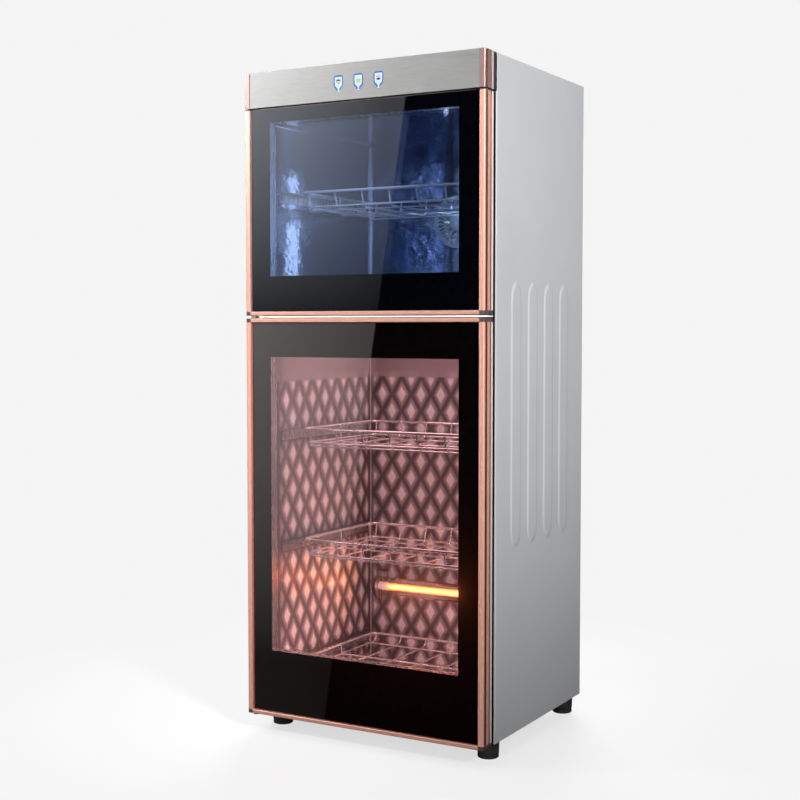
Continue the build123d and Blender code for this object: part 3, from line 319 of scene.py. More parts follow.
def polished(name, tone, rough, wave=14.0, waveDepth=0.0015, waveStrength=0.25, scratches=0.3, metallic=1.0,
             ripple=0.0):
    # mirror sheet: slow waves in the metal, faint wiping marks
    material, tree, shader = newFinish(name)
    dark = tuple(c * 0.86 for c in tone)
    tree.links.new(ramp(tree, noise(tree, 9.0, (1, 1, 1), 5.0), ((0.3, dark), (0.7, tone))),
                   shader.inputs["Base Color"])
    marks = noise(tree, 260.0, (1, 1, 0.08), 4.0, 0.7)
    tree.links.new(span(tree, marks, *rough), shader.inputs["Roughness"])
    shader.inputs["Metallic"].default_value = metallic
    bump(tree, shader, ((noise(tree, wave, (1, 1, 1), 2.0), waveDepth, waveStrength), (marks, 0.00001, scratches),
                        (noise(tree, 75.0, (0.6, 0.6, 1.5), 3.0, 0.6), 0.0012, ripple)))
    return material


def embossed(name, valley, slope, crown, rough, metallic):
    # pressed sheet whose colour follows the swell of the relief: painted shade in the valleys and the flat bands
    # behind the runners, a painted pink-white highlight on the crown of each diamond
    material, tree, shader = newFinish(name)
    swell = tree.nodes.new("ShaderNodeAttribute")
    swell.attribute_name = "swell"
    tone = ramp(tree, swell.outputs["Fac"], ((0.0, valley), (0.22, slope), (0.5, slope), (0.85, crown)))
    tree.links.new(tone, shader.inputs["Base Color"])
    tree.links.new(span(tree, noise(tree, 260.0, (1, 1, 0.08), 4.0, 0.7), *rough), shader.inputs["Roughness"])
    shader.inputs["Metallic"].default_value = metallic
    bump(tree, shader, ((noise(tree, 14.0, (1, 1, 1), 2.0), 0.0015, 0.1), (noise(tree, 1500.0), 0.00001, 0.3)))
    return material


def pane(name, tint, mirror=0.05, smear=0.012):
    # thin clear glass: it lets light straight through and mirrors by angle, the same from both sides
    material, tree, shader = newFinish(name)
    output = next(n for n in tree.nodes if n.type == "OUTPUT_MATERIAL")
    through = tree.nodes.new("ShaderNodeBsdfTransparent")
    through.inputs[0].default_value = (*tint, 1)
    shader.inputs["Base Color"].default_value = (0.01, 0.01, 0.012, 1)
    shader.inputs["Metallic"].default_value = 0.0
    shader.inputs["Specular IOR Level"].default_value = 1.0
    shader.inputs["IOR"].default_value = 30.0
    tree.links.new(span(tree, noise(tree, 18.0, (1, 1, 0.5), 5.0, 0.6), 0.0, smear), shader.inputs["Roughness"])
    facing = tree.nodes.new("ShaderNodeLayerWeight")
    facing.inputs["Blend"].default_value = 0.5
    steep = tree.nodes.new("ShaderNodeMath")
    steep.operation = "POWER"
    steep.inputs[1].default_value = 5.0
    tree.links.new(facing.outputs["Facing"], steep.inputs[0])
    mix = tree.nodes.new("ShaderNodeMixShader")
    tree.links.new(span(tree, steep.outputs[0], mirror, 1.0, 0.0, 1.0), mix.inputs[0])
    tree.links.new(through.outputs[0], mix.inputs[1])
    tree.links.new(shader.outputs[0], mix.inputs[2])
    tree.links.new(mix.outputs[0], output.inputs[0])
    return material


def glowing(name, colour, strength, core, mottle=600.0, alpha=1.0, rough=0.25):
    material, tree, shader = newFinish(name)
    shader.inputs["Base Color"].default_value = (*core, 1)
    shader.inputs["Emission Color"].default_value = (*colour, 1)
    shader.inputs["Emission Strength"].default_value = strength
    shader.inputs["Alpha"].default_value = alpha
    tree.links.new(span(tree, noise(tree, mottle, (1, 1, 1), 3.0), rough * 0.6, rough * 1.4),
                   shader.inputs["Roughness"])
    return material


def spangled(name, dark, light):
    # zinc crystals on galvanised sheet
    material, tree, shader = newFinish(name)
    cells = tree.nodes.new("ShaderNodeTexVoronoi")
    cells.inputs["Scale"].default_value = 160.0
    cells.inputs["Randomness"].default_value = 1.0
    tree.links.new(stretched(tree, (1, 1, 1)), cells.inputs["Vector"])
    tone = tree.nodes.new("ShaderNodeSeparateColor")
    tree.links.new(cells.outputs["Color"], tone.inputs[0])
    tree.links.new(ramp(tree, tone.outputs[0], ((0.0, dark), (1.0, light))), shader.inputs["Base Color"])
    tree.links.new(span(tree, tone.outputs[1], 0.28, 0.5, 0.0, 1.0), shader.inputs["Roughness"])
    shader.inputs["Metallic"].default_value = 0.85
    bump(tree, shader, ((noise(tree, 900.0), 0.00002, 0.2),))
    return material


finishes = {
    "bodyPaint": surface("bodyPaint", (0.36, 0.365, 0.375), (0.385, 0.39, 0.40), (0.30, 0.38), mottle=6.0,
                         grain=2200.0, grainDepth=0.00004, coat=0.15, strength=0.25),
    "darkPaint": surface("darkPaint", (0.035, 0.03, 0.032), (0.055, 0.05, 0.052), (0.35, 0.5), mottle=20.0,
                         grain=1800.0),
    # rose gold stiles: the strips paint shade in the two side grooves and a highlight band near the back of the side
    "roseGoldUpright": anodised("roseGoldUpright", (0.86, 0.43, 0.325), (0.90, 0.465, 0.355), "z", metallic=0.55,
                                strips=((0.0086, 0.0104, (0.10, 0.04, 0.03)), (0.0202, 0.0224, (0.16, 0.06, 0.06)),
                                        (0.0255, 0.0308, (0.98, 0.95, 0.94)))),
    "roseGoldAcross": anodised("roseGoldAcross", (0.72, 0.37, 0.28), (0.75, 0.39, 0.30), "x", metallic=0.55),
    # end trims: the same painted groove shade and painted highlight band as the stiles
    "mauveUpright": anodised("mauveUpright", (0.36, 0.22, 0.20), (0.38, 0.24, 0.22), "z", metallic=0.6,
                             strips=((0.0086, 0.0104, (0.06, 0.03, 0.03)), (0.0202, 0.0224, (0.10, 0.04, 0.04)),
                                     (0.0255, 0.0308, (0.70, 0.60, 0.58)))),
    "brushedSilver": anodised("brushedSilver", (0.205, 0.204, 0.202), (0.27, 0.268, 0.265), "x", (0.28, 0.42), 0.55,
                              0.25),
    "brightTrim": anodised("brightTrim", (0.80, 0.78, 0.77), (0.92, 0.90, 0.89), "x", (0.12, 0.22), 0.8),
    # painted highlight: a near-white, mostly matt copy of the trim metal for the lip between the doors
    "lipMetal": surface("lipMetal", (0.86, 0.84, 0.83), (0.94, 0.92, 0.91), (0.2, 0.3), metallic=0.2, mottle=60.0),
    "spacerMetal": surface("spacerMetal", (0.42, 0.42, 0.44), (0.52, 0.52, 0.54), (0.22, 0.34), metallic=0.9,
                           mottle=80.0, stretch=(1, 1, 0.1)),
    "ventGrey": surface("ventGrey", (0.34, 0.38, 0.44), (0.42, 0.46, 0.52), (0.25, 0.4), metallic=0.3, mottle=50.0),
    "gapShade": surface("gapShade", (0.003, 0.003, 0.003), (0.006, 0.006, 0.006), (0.6, 0.8), mottle=90.0,
                        specular=0.1),
    # painted shade for the grooves of the stiles and trims
    "grooveDark": surface("grooveDark", (0.026, 0.010, 0.008), (0.040, 0.016, 0.012), (0.4, 0.55), mottle=60.0,
                          grain=2500.0),
    "mauvePlastic": surface("mauvePlastic", (0.045, 0.028, 0.028), (0.075, 0.048, 0.047), (0.28, 0.42), mottle=60.0,
                            grain=2500.0),
    "blackPlastic": surface("blackPlastic", (0.012, 0.012, 0.013), (0.022, 0.022, 0.023), (0.42, 0.6), mottle=50.0,
                            grain=2400.0, grainDepth=0.00006),
    "greyPlastic": surface("greyPlastic", (0.20, 0.205, 0.21), (0.26, 0.265, 0.27), (0.4, 0.55), mottle=50.0,
                           grain=2400.0),
    "whitePlastic": surface("whitePlastic", (0.70, 0.70, 0.68), (0.80, 0.80, 0.79), (0.3, 0.45), mottle=40.0,
                            grain=2000.0),
    "blackPrint": surface("blackPrint", (0.0012, 0.0012, 0.0014), (0.0024, 0.0024, 0.0028), (0.6, 0.8), mottle=120.0,
                          specular=0.0, grain=300.0, grainDepth=0.00001, strength=0.02),
    "sealRubber": surface("sealRubber", (0.035, 0.035, 0.037), (0.06, 0.06, 0.062), (0.55, 0.75), mottle=90.0,
                          grain=1200.0),
    "footRubber": surface("footRubber", (0.008, 0.008, 0.008), (0.018, 0.018, 0.018), (0.5, 0.7), mottle=120.0,
                          grain=1500.0, grainDepth=0.00008),
    "mirrorSteel": polished("mirrorSteel", (0.80, 0.81, 0.84), (0.05, 0.11), waveStrength=0.35),
    # painted light: the upper liner's stainless steel given a dark blue tone that stands in for the blue lamp light
    # and shade of its compartment
    "upperSteel": polished("upperSteel", (0.40, 0.47, 0.62), (0.05, 0.11), wave=26.0, waveDepth=0.0015,
                           waveStrength=0.3, metallic=0.95, ripple=0.35),
    "embossedSteel": embossed("embossedSteel", (0.16, 0.135, 0.14), (0.40, 0.35, 0.36), (0.95, 0.90, 0.90),
                              (0.18, 0.27), 0.62),
    "wireChrome": polished("wireChrome", (0.80, 0.80, 0.82), (0.10, 0.2), wave=200.0, waveDepth=0.0001, scratches=0.1,
                           metallic=0.8),
    "upperWire": polished("upperWire", (0.66, 0.68, 0.72), (0.15, 0.25), wave=200.0, waveDepth=0.0001, scratches=0.1,
                          metallic=0.35),
    "zincSheet": spangled("zincSheet", (0.42, 0.43, 0.45), (0.62, 0.63, 0.65)),
    "plainSteel": surface("plainSteel", (0.45, 0.45, 0.46), (0.6, 0.6, 0.61), (0.22, 0.38), metallic=0.95,
                          mottle=120.0, stretch=(1, 1, 0.2)),
    "brass": surface("brass", (0.62, 0.42, 0.16), (0.76, 0.55, 0.24), (0.2, 0.35), metallic=1.0, mottle=150.0),
    "ceramic": surface("ceramic", (0.66, 0.62, 0.56), (0.78, 0.75, 0.70), (0.5, 0.7), mottle=150.0, grain=1800.0,
                       grainDepth=0.00008),
    "circuitGreen": surface("circuitGreen", (0.01, 0.08, 0.035), (0.02, 0.14, 0.06), (0.2, 0.4), mottle=300.0,
                            grain=700.0, coat=0.4),
    "glassFibre": surface("glassFibre", (0.62, 0.58, 0.48), (0.80, 0.77, 0.70), (0.8, 1.0), mottle=400.0, grain=900.0,
                          grainDepth=0.0008, strength=0.9),
    "quartz": glowing("quartz", (1.0, 0.20, 0.03), 2.2, (0.9, 0.5, 0.3), alpha=0.5, rough=0.08),
    "hotCoil": glowing("hotCoil", (1.0, 0.58, 0.18), 19.0, (0.9, 0.6, 0.3)),
    "lampGlass": glowing("lampGlass", (0.42, 0.66, 1.0), 3.4, (0.8, 0.9, 1.0), alpha=0.8, rough=0.06),
    "keyBlue": glowing("keyBlue", (0.02, 0.09, 0.42), 0.12, (0.02, 0.07, 0.26)),
    "keyGlow": glowing("keyGlow", (0.50, 0.74, 1.0), 0.24, (0.30, 0.38, 0.47)),
    "keyBrown": glowing("keyBrown", (0.20, 0.06, 0.02), 0.05, (0.07, 0.03, 0.015)),
    "keyRose": glowing("keyRose", (0.80, 0.50, 0.50), 0.10, (0.45, 0.28, 0.28)),
    "keyOlive": glowing("keyOlive", (0.42, 0.44, 0.10), 0.15, (0.30, 0.32, 0.10)),
    # the blue and pink tints of the outer door panes are painted lamp light of the compartments behind them
    "upperPane": pane("upperPane", (0.80, 0.86, 0.97)),
    "lowerPane": pane("lowerPane", (0.95, 0.845, 0.85)),
    "innerPane": pane("innerPane", (0.95, 0.95, 0.96)),
}
print("finishes made:", len(finishes))

# finish of every CAD node that stays in view
nodeFinish = {
    "base_pan": "zincSheet", "side_panel_left": "bodyPaint", "side_panel_right": "bodyPaint",
    "top_cover": "bodyPaint", "rear_panel": "zincSheet", "front_frame": "darkPaint", "middle_trim": "brightTrim",
    "door_switches": "blackPlastic", "upper_liner": "upperSteel", "upper_liner_back": "upperSteel",
    "lower_liner": "embossedSteel", "lower_liner_back": "embossedSteel", "lower_insulation": "glassFibre",
    "feet": "footRubber", "foot_screws": "plainSteel", "hinge_plates": "plainSteel", "hinge_pins": "plainSteel",
    "upper_rack_runners": "plainSteel", "lower_rack_runners": "plainSteel", "heater_tube": "quartz",
    "heater_end_caps": "ceramic", "heater_brackets": "plainSteel", "heater_reflector": "mirrorSteel",
    "uv_lamp_tube": "lampGlass", "uv_lamp_holders": "whitePlastic", "fan_guard": "ventGrey",
    "fan_motor": "blackPlastic", "fan_impeller": "greyPlastic", "panel_fascia": "brushedSilver",
    "panel_housing": "blackPlastic", "panel_end_trims": "mauveUpright", "touch_keys": "brushedSilver",
    "control_board": "circuitGreen", "power_board": "circuitGreen", "ozone_generator": "whitePlastic",
    "thermal_cutouts": "plainSteel", "mains_gland": "blackPlastic", "upper_rack_top": "wireChrome",
    "upper_rack_bottom": "wireChrome", "lower_rack_top": "wireChrome", "lower_rack_middle": "wireChrome",
    "lower_rack_bottom": "wireChrome",
}
doorFinish = {
    "stiles": "roseGoldUpright", "rails": "roseGoldAcross", "corner_caps": "mauvePlastic", "outer_glass": "innerPane",
    "window_frame": "spacerMetal", "inner_glass": "innerPane", "inner_panel": "mirrorSteel", "seal": "sealRubber",
    "hinge_bushes": "brass",
}
for door in ("upper_door", "lower_door"):
    for part, finish in doorFinish.items():
        nodeFinish[f"{door}_{part}"] = finish
# long straight sections are shaded facet by facet
straightSections = ("stiles", "rails", "end_trims", "middle_trim", "panel_fascia", "front_frame")
for name, node in cadNodes.items():
    node.data.materials.clear()
    node.data.materials.append(finishes[nodeFinish[name]])
    shade(node.data, not name.endswith(straightSections), 30)
print("frame painted")

# door glass: a bevelled pane with a black printed border on its back
glassLook = {"edge": 0.0006, "printGap": 0.00003, "print": 0.00012, "printInset": 0.0003}


def makeDoorGlass(which):
    spec, look = doors[which], glassLook
    body = f"{which}_door"
    low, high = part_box(spec["glass"])
    bm = bmesh.new()
    addBox(bm, low, high, look["edge"], 2)
    keepPiece(f"{which}DoorPane", bm, f"{which}Pane", body, (spec["glass"],), smooth=0)
    back, inset = high.y - doorFace + look["printGap"], look["printInset"]
    outer = (high.x - inset, low.z + inset, high.z - inset)
    bm = bmesh.new()
    addRing(bm, outer, (windowHalf, *spec["window"]), back, back + look["print"])
    keepPiece(f"{which}DoorPrint", bm, "blackPrint", body, smooth=0)


for which in doors:
    makeDoorGlass(which)
print("door glass made")

# painted shade: dark strips down the grooves of the stiles and trims, standing in for the shade inside the grooves
grooveShadeLook = {
    "deep": (0.2221, 0.2246, 0.0041, 0.0088),  # from x, to x, from depth, to depth
    "shallow": (0.2231, 0.2246, 0.0221, 0.0244),
    "heights": {"upper_door": (0.7202, 1.0568), "lower_door": (0.0377, 0.7018), "cabinet": (1.0612, 1.1178)},
    "edge": 0.0001,
}
foldShadeLook = {
    "across": (0.2107, 0.2214), "depths": (-0.1556, -0.1551), "edge": 0.0002,
    "spans": ((1, (0.031, 1.0595)), (-1, (0.031, 0.7085)), (-1, (0.7135, 1.0595))),  # side, then from z to z
}
lipLook = {"low": (-0.199, doorFace + 0.0015, 0.7098), "high": (0.2235, -0.1655, 0.7122), "edge": 0.0005}


def makeGrooveShade():
    for body, heights in grooveShadeLook["heights"].items():
        bm = bmesh.new()
        for side in (-1, 1):
            for groove in ("deep", "shallow"):
                x0, x1, d0, d1 = grooveShadeLook[groove]
                addSideBox(bm, side, (x0, x1), (doorFace + d0, doorFace + d1), heights, grooveShadeLook["edge"])
        name = body.replace("_door", "") + "GrooveInlays"
        keepPiece(name, bm, "grooveDark", body)


def makeFoldShade():
    # painted shade: soft dark strips on the front folds of the side panels, where the gap beside the doors lies in
    # shade; left open where the hinge plates pass
    look = foldShadeLook
    bm = bmesh.new()
    for side, heights in look["spans"]:
        addSideBox(bm, side, look["across"], look["depths"], heights, look["edge"])
    keepPiece("sideFoldGaskets", bm, "gapShade", "cabinet")


def makeGapLip():
    # the bright lip of the middle trim, which reaches forward between the doors; its near-white, mostly matt colour
    # is a painted highlight of the gap between the doors
    bm = bmesh.new()
    addBox(bm, lipLook["low"], lipLook["high"], lipLook["edge"], 2)
    keepPiece("doorGapLip", bm, "lipMetal", "cabinet")


makeGrooveShade()
makeFoldShade()
makeGapLip()
print("grooveShade made")

# side panels: a rounded front fold and four pressed ribs with soft flanks
panelLook = {
    "face": 0.2235, "sheet": 0.0008, "bend": 0.0018, "bendSteps": 6,
    "ribs": (-0.081, -0.016, 0.049, 0.114), "half": 0.0205, "length": 0.435, "middle": 0.5515,
    "rise": 0.00148, "flank": 0.0062, "point": 0.62,  # a smaller point makes longer rib ends
    "margin": 0.0215, "coarse": 0.012, "fine": 0.0009,  # columns of the mesh
    "endMargin": 0.002, "ends": 0.045, "tallCoarse": 0.05, "tallFine": 0.0018,  # rows of the mesh
    "frontFold": (0.2105, 0.2217), "backFold": (0.2105, 0.2226), "backDepths": (0.1942, 0.195), "foldTop": 1.119,
    "foldSheet": 0.0007, "edge": 0.0001,
}


def ribRise(y, z):
    look = panelLook
    reach = look["length"] / 2 - look["half"] / look["point"]
    beyond = max(0.0, abs(z - look["middle"]) - reach) * look["point"]
    inside = max(look["half"] - math.hypot(y - rib, beyond) for rib in look["ribs"])
    return look["rise"] * soft(inside / look["flank"])


def steps(start, end, pitch):
    count = max(1, round((end - start) / pitch))
    return [start + (end - start) * k / count for k in range(count)]


def panelColumns(front, back):
    # (distance from the middle, depth) of each column, from the rounded fold to the back
    look = panelLook
    face, bend, margin = look["face"], look["bend"], look["margin"]
    columns = []
    for k in range(look["bendSteps"]):
        turn = math.pi / 2 * k / look["bendSteps"]
        columns.append((face - bend + bend * math.sin(turn), front + bend - bend * math.cos(turn)))
    mark = front + bend
    for rib in look["ribs"]:
        depths = steps(mark, rib - margin, look["coarse"]) + steps(rib - margin, rib + margin, look["fine"])
        columns += [(face, y) for y in depths]
        mark = rib + margin
    return columns + [(face, y) for y in steps(mark, back, look["coarse"])] + [(face, back)]


def panelRows(low, high):
    look = panelLook
    bottom = look["middle"] - look["length"] / 2
    top = bottom + look["length"]
    marks = (low, bottom - look["endMargin"], bottom + look["ends"], top - look["ends"], top + look["endMargin"],
             high)
    rows = []
    for k, (start, end) in enumerate(zip(marks, marks[1:])):
        rows += steps(start, end, look["tallFine"] if k % 2 else look["tallCoarse"])
    return rows + [high]


def makeSidePanel(side, name, node, notches):
    look = panelLook
    low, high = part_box(node)
    columns = panelColumns(low.y, high.y)
    bm = bmesh.new()
    grid = []
    for z in panelRows(low.z, high.z):
        rises = [ribRise(y, z) if x == look["face"] else 0.0 for x, y in columns]
        grid.append([bm.verts.new((side * (x + rise), y, z)) for (x, y), rise in zip(columns, rises)])
    joinGrid(bm, grid)
    inner = look["face"] - look["sheet"]
    closeSheet(bm, grid, lambda co: (side * min(abs(co.x) - 0.0003, inner), co.y, co.z))
    # folds behind the front edge and at the back, open where the hinge plates pass
    heights = [low.z] + [z for notch in notches for z in notch] + [look["foldTop"]]
    frontDepths = (low.y + 0.0001, low.y + 0.0001 + look["foldSheet"])
    for span in zip(heights[::2], heights[1::2]):
        addSideBox(bm, side, look["frontFold"], frontDepths, span, look["edge"])
    addSideBox(bm, side, look["backFold"], look["backDepths"], (low.z, look["foldTop"]), look["edge"])
    keepPiece(name, bm, "bodyPaint", "cabinet", (node,), smooth=40)


makeSidePanel(1, "sidePanelRight", "side_panel_right", ())
makeSidePanel(-1, "sidePanelLeft", "side_panel_left", ((0.7093, 0.7127), (1.0628, 1.0662)))
print("side panels made")

# embossed liner of the lower compartment
linerLook = {
    "sheet": 0.0006, "step": 0.003, "corner": 0.006, "cornerSteps": 5, "flatSteps": 26,
    "relief": 0.0017, "pitch": 0.042, "row": 0.0315, "diamond": (0.0175, 0.029), "crown": 0.75,
    "plainAbove": 0.612, "fade": 0.02, "plainSwell": 0.3, "backMargin": 0.004, "backFade": 0.006,
    "endMargin": 0.006, "endFade": 0.008, "seam": 0.0016,
    "runners": (0.1012, 0.3122, 0.5062), "runnerMargin": 0.010, "runnerFade": 0.006,  # flat bands behind the runners
}


def relief(across, height):
    # diamonds in a staggered lattice, each swelling towards its middle
    pitch, rowStep = linerLook["pitch"], linerLook["row"]
    wide, tall = linerLook["diamond"]
    middle = math.floor(height / rowStep + 0.5)
    best = 0.0
    for row in (middle - 1, middle, middle + 1):
        offset = across - 0.5 * pitch * (row % 2)
        column = math.floor(offset / pitch + 0.5)
        best = max(best, 1.0 - abs(offset - column * pitch) / wide - abs(height - row * rowStep) / tall)
    return soft(best / linerLook["crown"])


def fadeAbove(height):
    return clamp((linerLook["plainAbove"] - height) / linerLook["fade"])


def clearOfRunners(height):
    near = min(abs(height - runner) for runner in linerLook["runners"])
    return clamp((near - linerLook["runnerMargin"]) / linerLook["runnerFade"])


def makeLinerBack():
    look = linerLook
    low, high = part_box("lower_liner_back")
    columns, rows = round((high.x - low.x) / look["step"]), round((high.z - low.z) / look["step"])
    bm = bmesh.new()
    swell = bm.verts.layers.float.new("swell")
    grid = []
    for j in range(rows + 1):
        z = low.z + (high.z - low.z) * j / rows
        line = []
        for i in range(columns + 1):
            x = low.x + (high.x - low.x) * i / columns
            rise = relief(x, z) * fadeAbove(z) * clamp((cavityHalf - look["backMargin"] - abs(x)) / look["backFade"])
            line.append(bm.verts.new((x, low.y - rise * look["relief"], z)))
            line[-1][swell] = rise if fadeAbove(z) > 0.5 else look["plainSwell"]
        grid.append(line)
    joinGrid(bm, grid)
    closeSheet(bm, grid, lambda co: (co.x, high.y, co.z))
    keepPiece("lowerLinerBack", bm, "embossedSteel", "cabinet", ("lower_liner_back",), smooth=60)


def linerLoop():
    # points round the compartment as (x, z, inward x, inward z, relief here)
    half, (low, high), corner = cavityHalf, lowerCavity, linerLook["corner"]
    tall, wide = high - low - 2 * corner, 2 * (half - corner)
    wall, flat, turns = round(tall / linerLook["step"]), linerLook["flatSteps"], linerLook["cornerSteps"]
    loop = []

    def addCorner(x, z, quarter):
        for k in range(turns):
            turn = math.pi / 2 * (quarter + k / turns)
            across, up = math.cos(turn), math.sin(turn)
            loop.append((x + corner * across, z + corner * up, -across, -up, False))

    loop += [(half, low + corner + tall * k / wall, -1, 0, True) for k in range(wall)]
    addCorner(half - corner, high - corner, 0)
    loop += [(half - corner - wide * k / flat, high, 0, -1, False) for k in range(flat)]
    addCorner(corner - half, high - corner, 1)
    loop += [(-half, high - corner - tall * k / wall, 1, 0, True) for k in range(wall)]
    addCorner(corner - half, low + corner, 2)
    loop += [(corner - half + wide * k / flat, low, 0, 1, False) for k in range(flat)]
    addCorner(half - corner, low + corner, 3)
    return loop


def makeLinerWrap():
    look = linerLook
    low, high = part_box("lower_liner")
    front, back = low.y, high.y
    loop = linerLoop()
    count = round((back - front) / look["step"])
    bm = bmesh.new()
    swell = bm.verts.layers.float.new("swell")
    rings = []
    for j in range(count + 1):
        y = front + (back - front) * j / count
        ends = clamp((min(y - front, back - y) - look["endMargin"]) / look["endFade"])
        ring = []
        for x, z, inX, inZ, raised in loop:
            swollen = relief(y, z) * fadeAbove(z) * clearOfRunners(z) * ends if raised else 0.0
            rise = swollen * look["relief"]
            ring.append(bm.verts.new((x + inX * rise, y, z + inZ * rise)))
            ring[-1][swell] = swollen if raised and fadeAbove(z) > 0.5 else look["plainSwell"]
        rings.append(ring)
    outside = []
    for y in (front, back):
        outside.append([bm.verts.new((x - inX * look["sheet"], y, z - inZ * look["sheet"])) for x, z, inX, inZ,
                        _ in loop])
    around = [outside[0]] + rings + [outside[1], outside[0]]
    for one, two in zip(around, around[1:]):
        joinRings(bm, one, two)
    keepPiece("lowerLinerWalls", bm, "embossedSteel", "cabinet", ("lower_liner",), smooth=60)


def makeCornerSeams():
    # folded seams where the wrap meets the back sheet
    radius, corner = linerLook["seam"], linerLook["corner"]
    for which, (low, high) in (("lower", lowerCavity), ("upper", upperCavity)):
        bm = bmesh.new()
        for side in (-1, 1):
            x, y = side * (cavityHalf - radius), cavityBack - radius - 0.0002
            addWire(bm, [Vector((x, y, low + corner)), Vector((x, y, high - corner))], radius, 10)
        keepPiece(f"{which}LinerSeams", bm, "brightTrim", "cabinet")


makeLinerBack()
makeLinerWrap()
makeCornerSeams()
print("liners made")

# wire racks
rackLook = {
    "frameWire": 0.0025, "lowerWire": 0.0018, "floorWire": 0.0015, "corner": 0.018, "pitch": 0.053, "count": 7,
    "lean": 0.008, "half": 0.172, "front": -0.110, "back": 0.130, "weld": 0.0022, "weldIn": 0.0008,
    "rise": 0.001, "floorBend": 0.008, "crossBend": 0.006, "crossLean": 0.0015, "crossInset": 0.014, "crossCount": 3,
    "lowerRing": 0.0035, "deep": 0.02,  # a rack deeper than this has a lower ring
}
racks = {  # height of the top wire, depth of the basket
    "upper_rack_top": (0.926, 0.028), "upper_rack_bottom": (0.778, 0.028), "lower_rack_top": (0.517, 0.028),
    "lower_rack_middle": (0.323, 0.028), "lower_rack_bottom": (0.112, 0.012),
}


def rackLoop(half, front, back, z):
    corners = [(-half, front, z), (half, front, z), (half, back, z), (-half, back, z)]
    return roundPath(corners, rackLook["corner"], 8, closed=True)


def makeRack(name, top, drop):
    look = rackLook
    wire, weldIn, lean = look["floorWire"], look["weldIn"], look["lean"]
    bm = bmesh.new()
    addWire(bm, rackLoop(look["half"], look["front"], look["back"], top), look["frameWire"], 14, closed=True)
    inset = look["frameWire"] + wire
    tip, floor = top + look["rise"], top - drop
    front, back, side = look["front"] + inset, look["back"] - inset, look["half"] - inset
    welds = []
    for i in range(look["count"]):
        x = (i - (look["count"] - 1) / 2) * look["pitch"]
        path = [(x, front, tip), (x, front + lean, floor), (x, back - lean, floor), (x, back, tip)]
        addWire(bm, roundPath(path, look["floorBend"], 6), wire)
        welds += [(x, front - weldIn, top), (x, back + weldIn, top)]
    under = floor - 2 * wire - 0.00002
    reach = side - look["crossLean"]
    first, last = front + look["crossInset"], back - look["crossInset"]
    for k in range(look["crossCount"]):
        y = first + k * (last - first) / (look["crossCount"] - 1)
        path = [(-side, y, tip), (-reach, y, under), (reach, y, under), (side, y, tip)]
        addWire(bm, roundPath(path, look["crossBend"], 5), wire)
        welds += [(-side - weldIn, y, top), (side + weldIn, y, top)]
    if drop > look["deep"]:
        # a thinner ring low on the basket, outside the floor wires
        out = wire + look["lowerWire"] - lean * (1 - look["lowerRing"] / drop)
        ring = rackLoop(side + wire - weldIn, front - out, back + out, floor + look["lowerRing"])
        addWire(bm, ring, look["lowerWire"], closed=True)
    for place in welds:
        bead = bmesh.ops.create_icosphere(bm, subdivisions=2, radius=look["weld"])["verts"]
        bmesh.ops.translate(bm, verts=bead, vec=place)
    first, *others = name.split("_")
    finish = "upperWire" if first == "upper" else "wireChrome"
    pieceName = first + "".join(word.title() for word in others) + "Basket"
    keepPiece(pieceName, bm, finish, name, (name,), smooth=50)


for name, (top, drop) in racks.items():
    makeRack(name, top, drop)
print("racks made")

# infrared heater
heaterLook = {
    "z": 0.203, "y": 0.136, "half": 0.150, "tube": 0.006, "wall": 0.0012, "edge": 0.0003,
    "coil": 0.0024, "wire": 0.00055, "turn": 0.0036, "turnSteps": 12, "coilEnd": 0.012,
    "capIn": 0.008, "capOut": 0.016,
    # the ceramic caps: radius, share of the cap's length
    "cap": ((0.0062, 0.0), (0.0074, 0.0), (0.008, 0.04), (0.008, 0.42), (0.0069, 0.46), (0.0069, 0.58), (0.008, 0.62),
            (0.008, 0.93), (0.0072, 1.0), (0.0, 1.0)),
}


def makeHeater():
    look = heaterLook
    half, middle, height, r, edge = look["half"], look["y"], look["z"], look["tube"], look["edge"]
    centre, bore = (0, middle, height), r - look["wall"]
    bm = bmesh.new()
    profile = [(bore, -half), (r - edge, -half), (r, -half + edge), (r, half - edge), (r - edge, half), (bore, half),
               (bore, -half)]
    addTurned(bm, profile, centre, "x", 40)
    keepPiece("heaterQuartzTube", bm, "quartz", "cabinet", ("heater_tube",))
    count, start = look["turnSteps"], look["coilEnd"] - half
    path = []
    for k in range(int(-2 * start / look["turn"]) * count + 1):
        angle = 2 * math.pi * k / count
        across, up = look["coil"] * math.cos(angle), look["coil"] * math.sin(angle)
        path.append(Vector((start + look["turn"] * k / count, middle + across, height + up)))
    bm = bmesh.new()
    addWire(bm, path, look["wire"], 6)
    keepPiece("heaterCoil", bm, "hotCoil", "cabinet", smooth=60)
    bm = bmesh.new()
    for side in (-1, 1):
        start, length = side * (half - look["capIn"]), side * (look["capIn"] + look["capOut"])
        addTurned(bm, [(radius, start + share * length) for radius, share in look["cap"]], centre, "x", 36)
    keepPiece("heaterCeramicCaps", bm, "ceramic", "cabinet", ("heater_end_caps",))


makeHeater()
print("heater made")

# hexagon screws with a washer head
screwLook = {
    "washer": ((1.5, 0), (1.5, 0.2), (1.38, 0.32), (0, 0.36)),  # radius and height, as shares of the head's radius
    "head": ((1, 0.25), (1, 0.95), (0.86, 1.1), (0, 1.12)),
    "rear": {"radius": 0.0024, "y": 0.196, "x": (-0.2145, -0.075, 0.075, 0.2145), "ends": (0.042, 1.106),
             "sides": (0.25, 0.46, 0.67, 0.88)},
    "bracket": {"radius": 0.0022, "y": 0.1608, "x": 0.177, "z": (0.187, 0.219)},
    "guard": {"radius": 0.0016, "y": 0.1609, "x": -0.008, "z": 0.888, "reach": 0.0442},
}


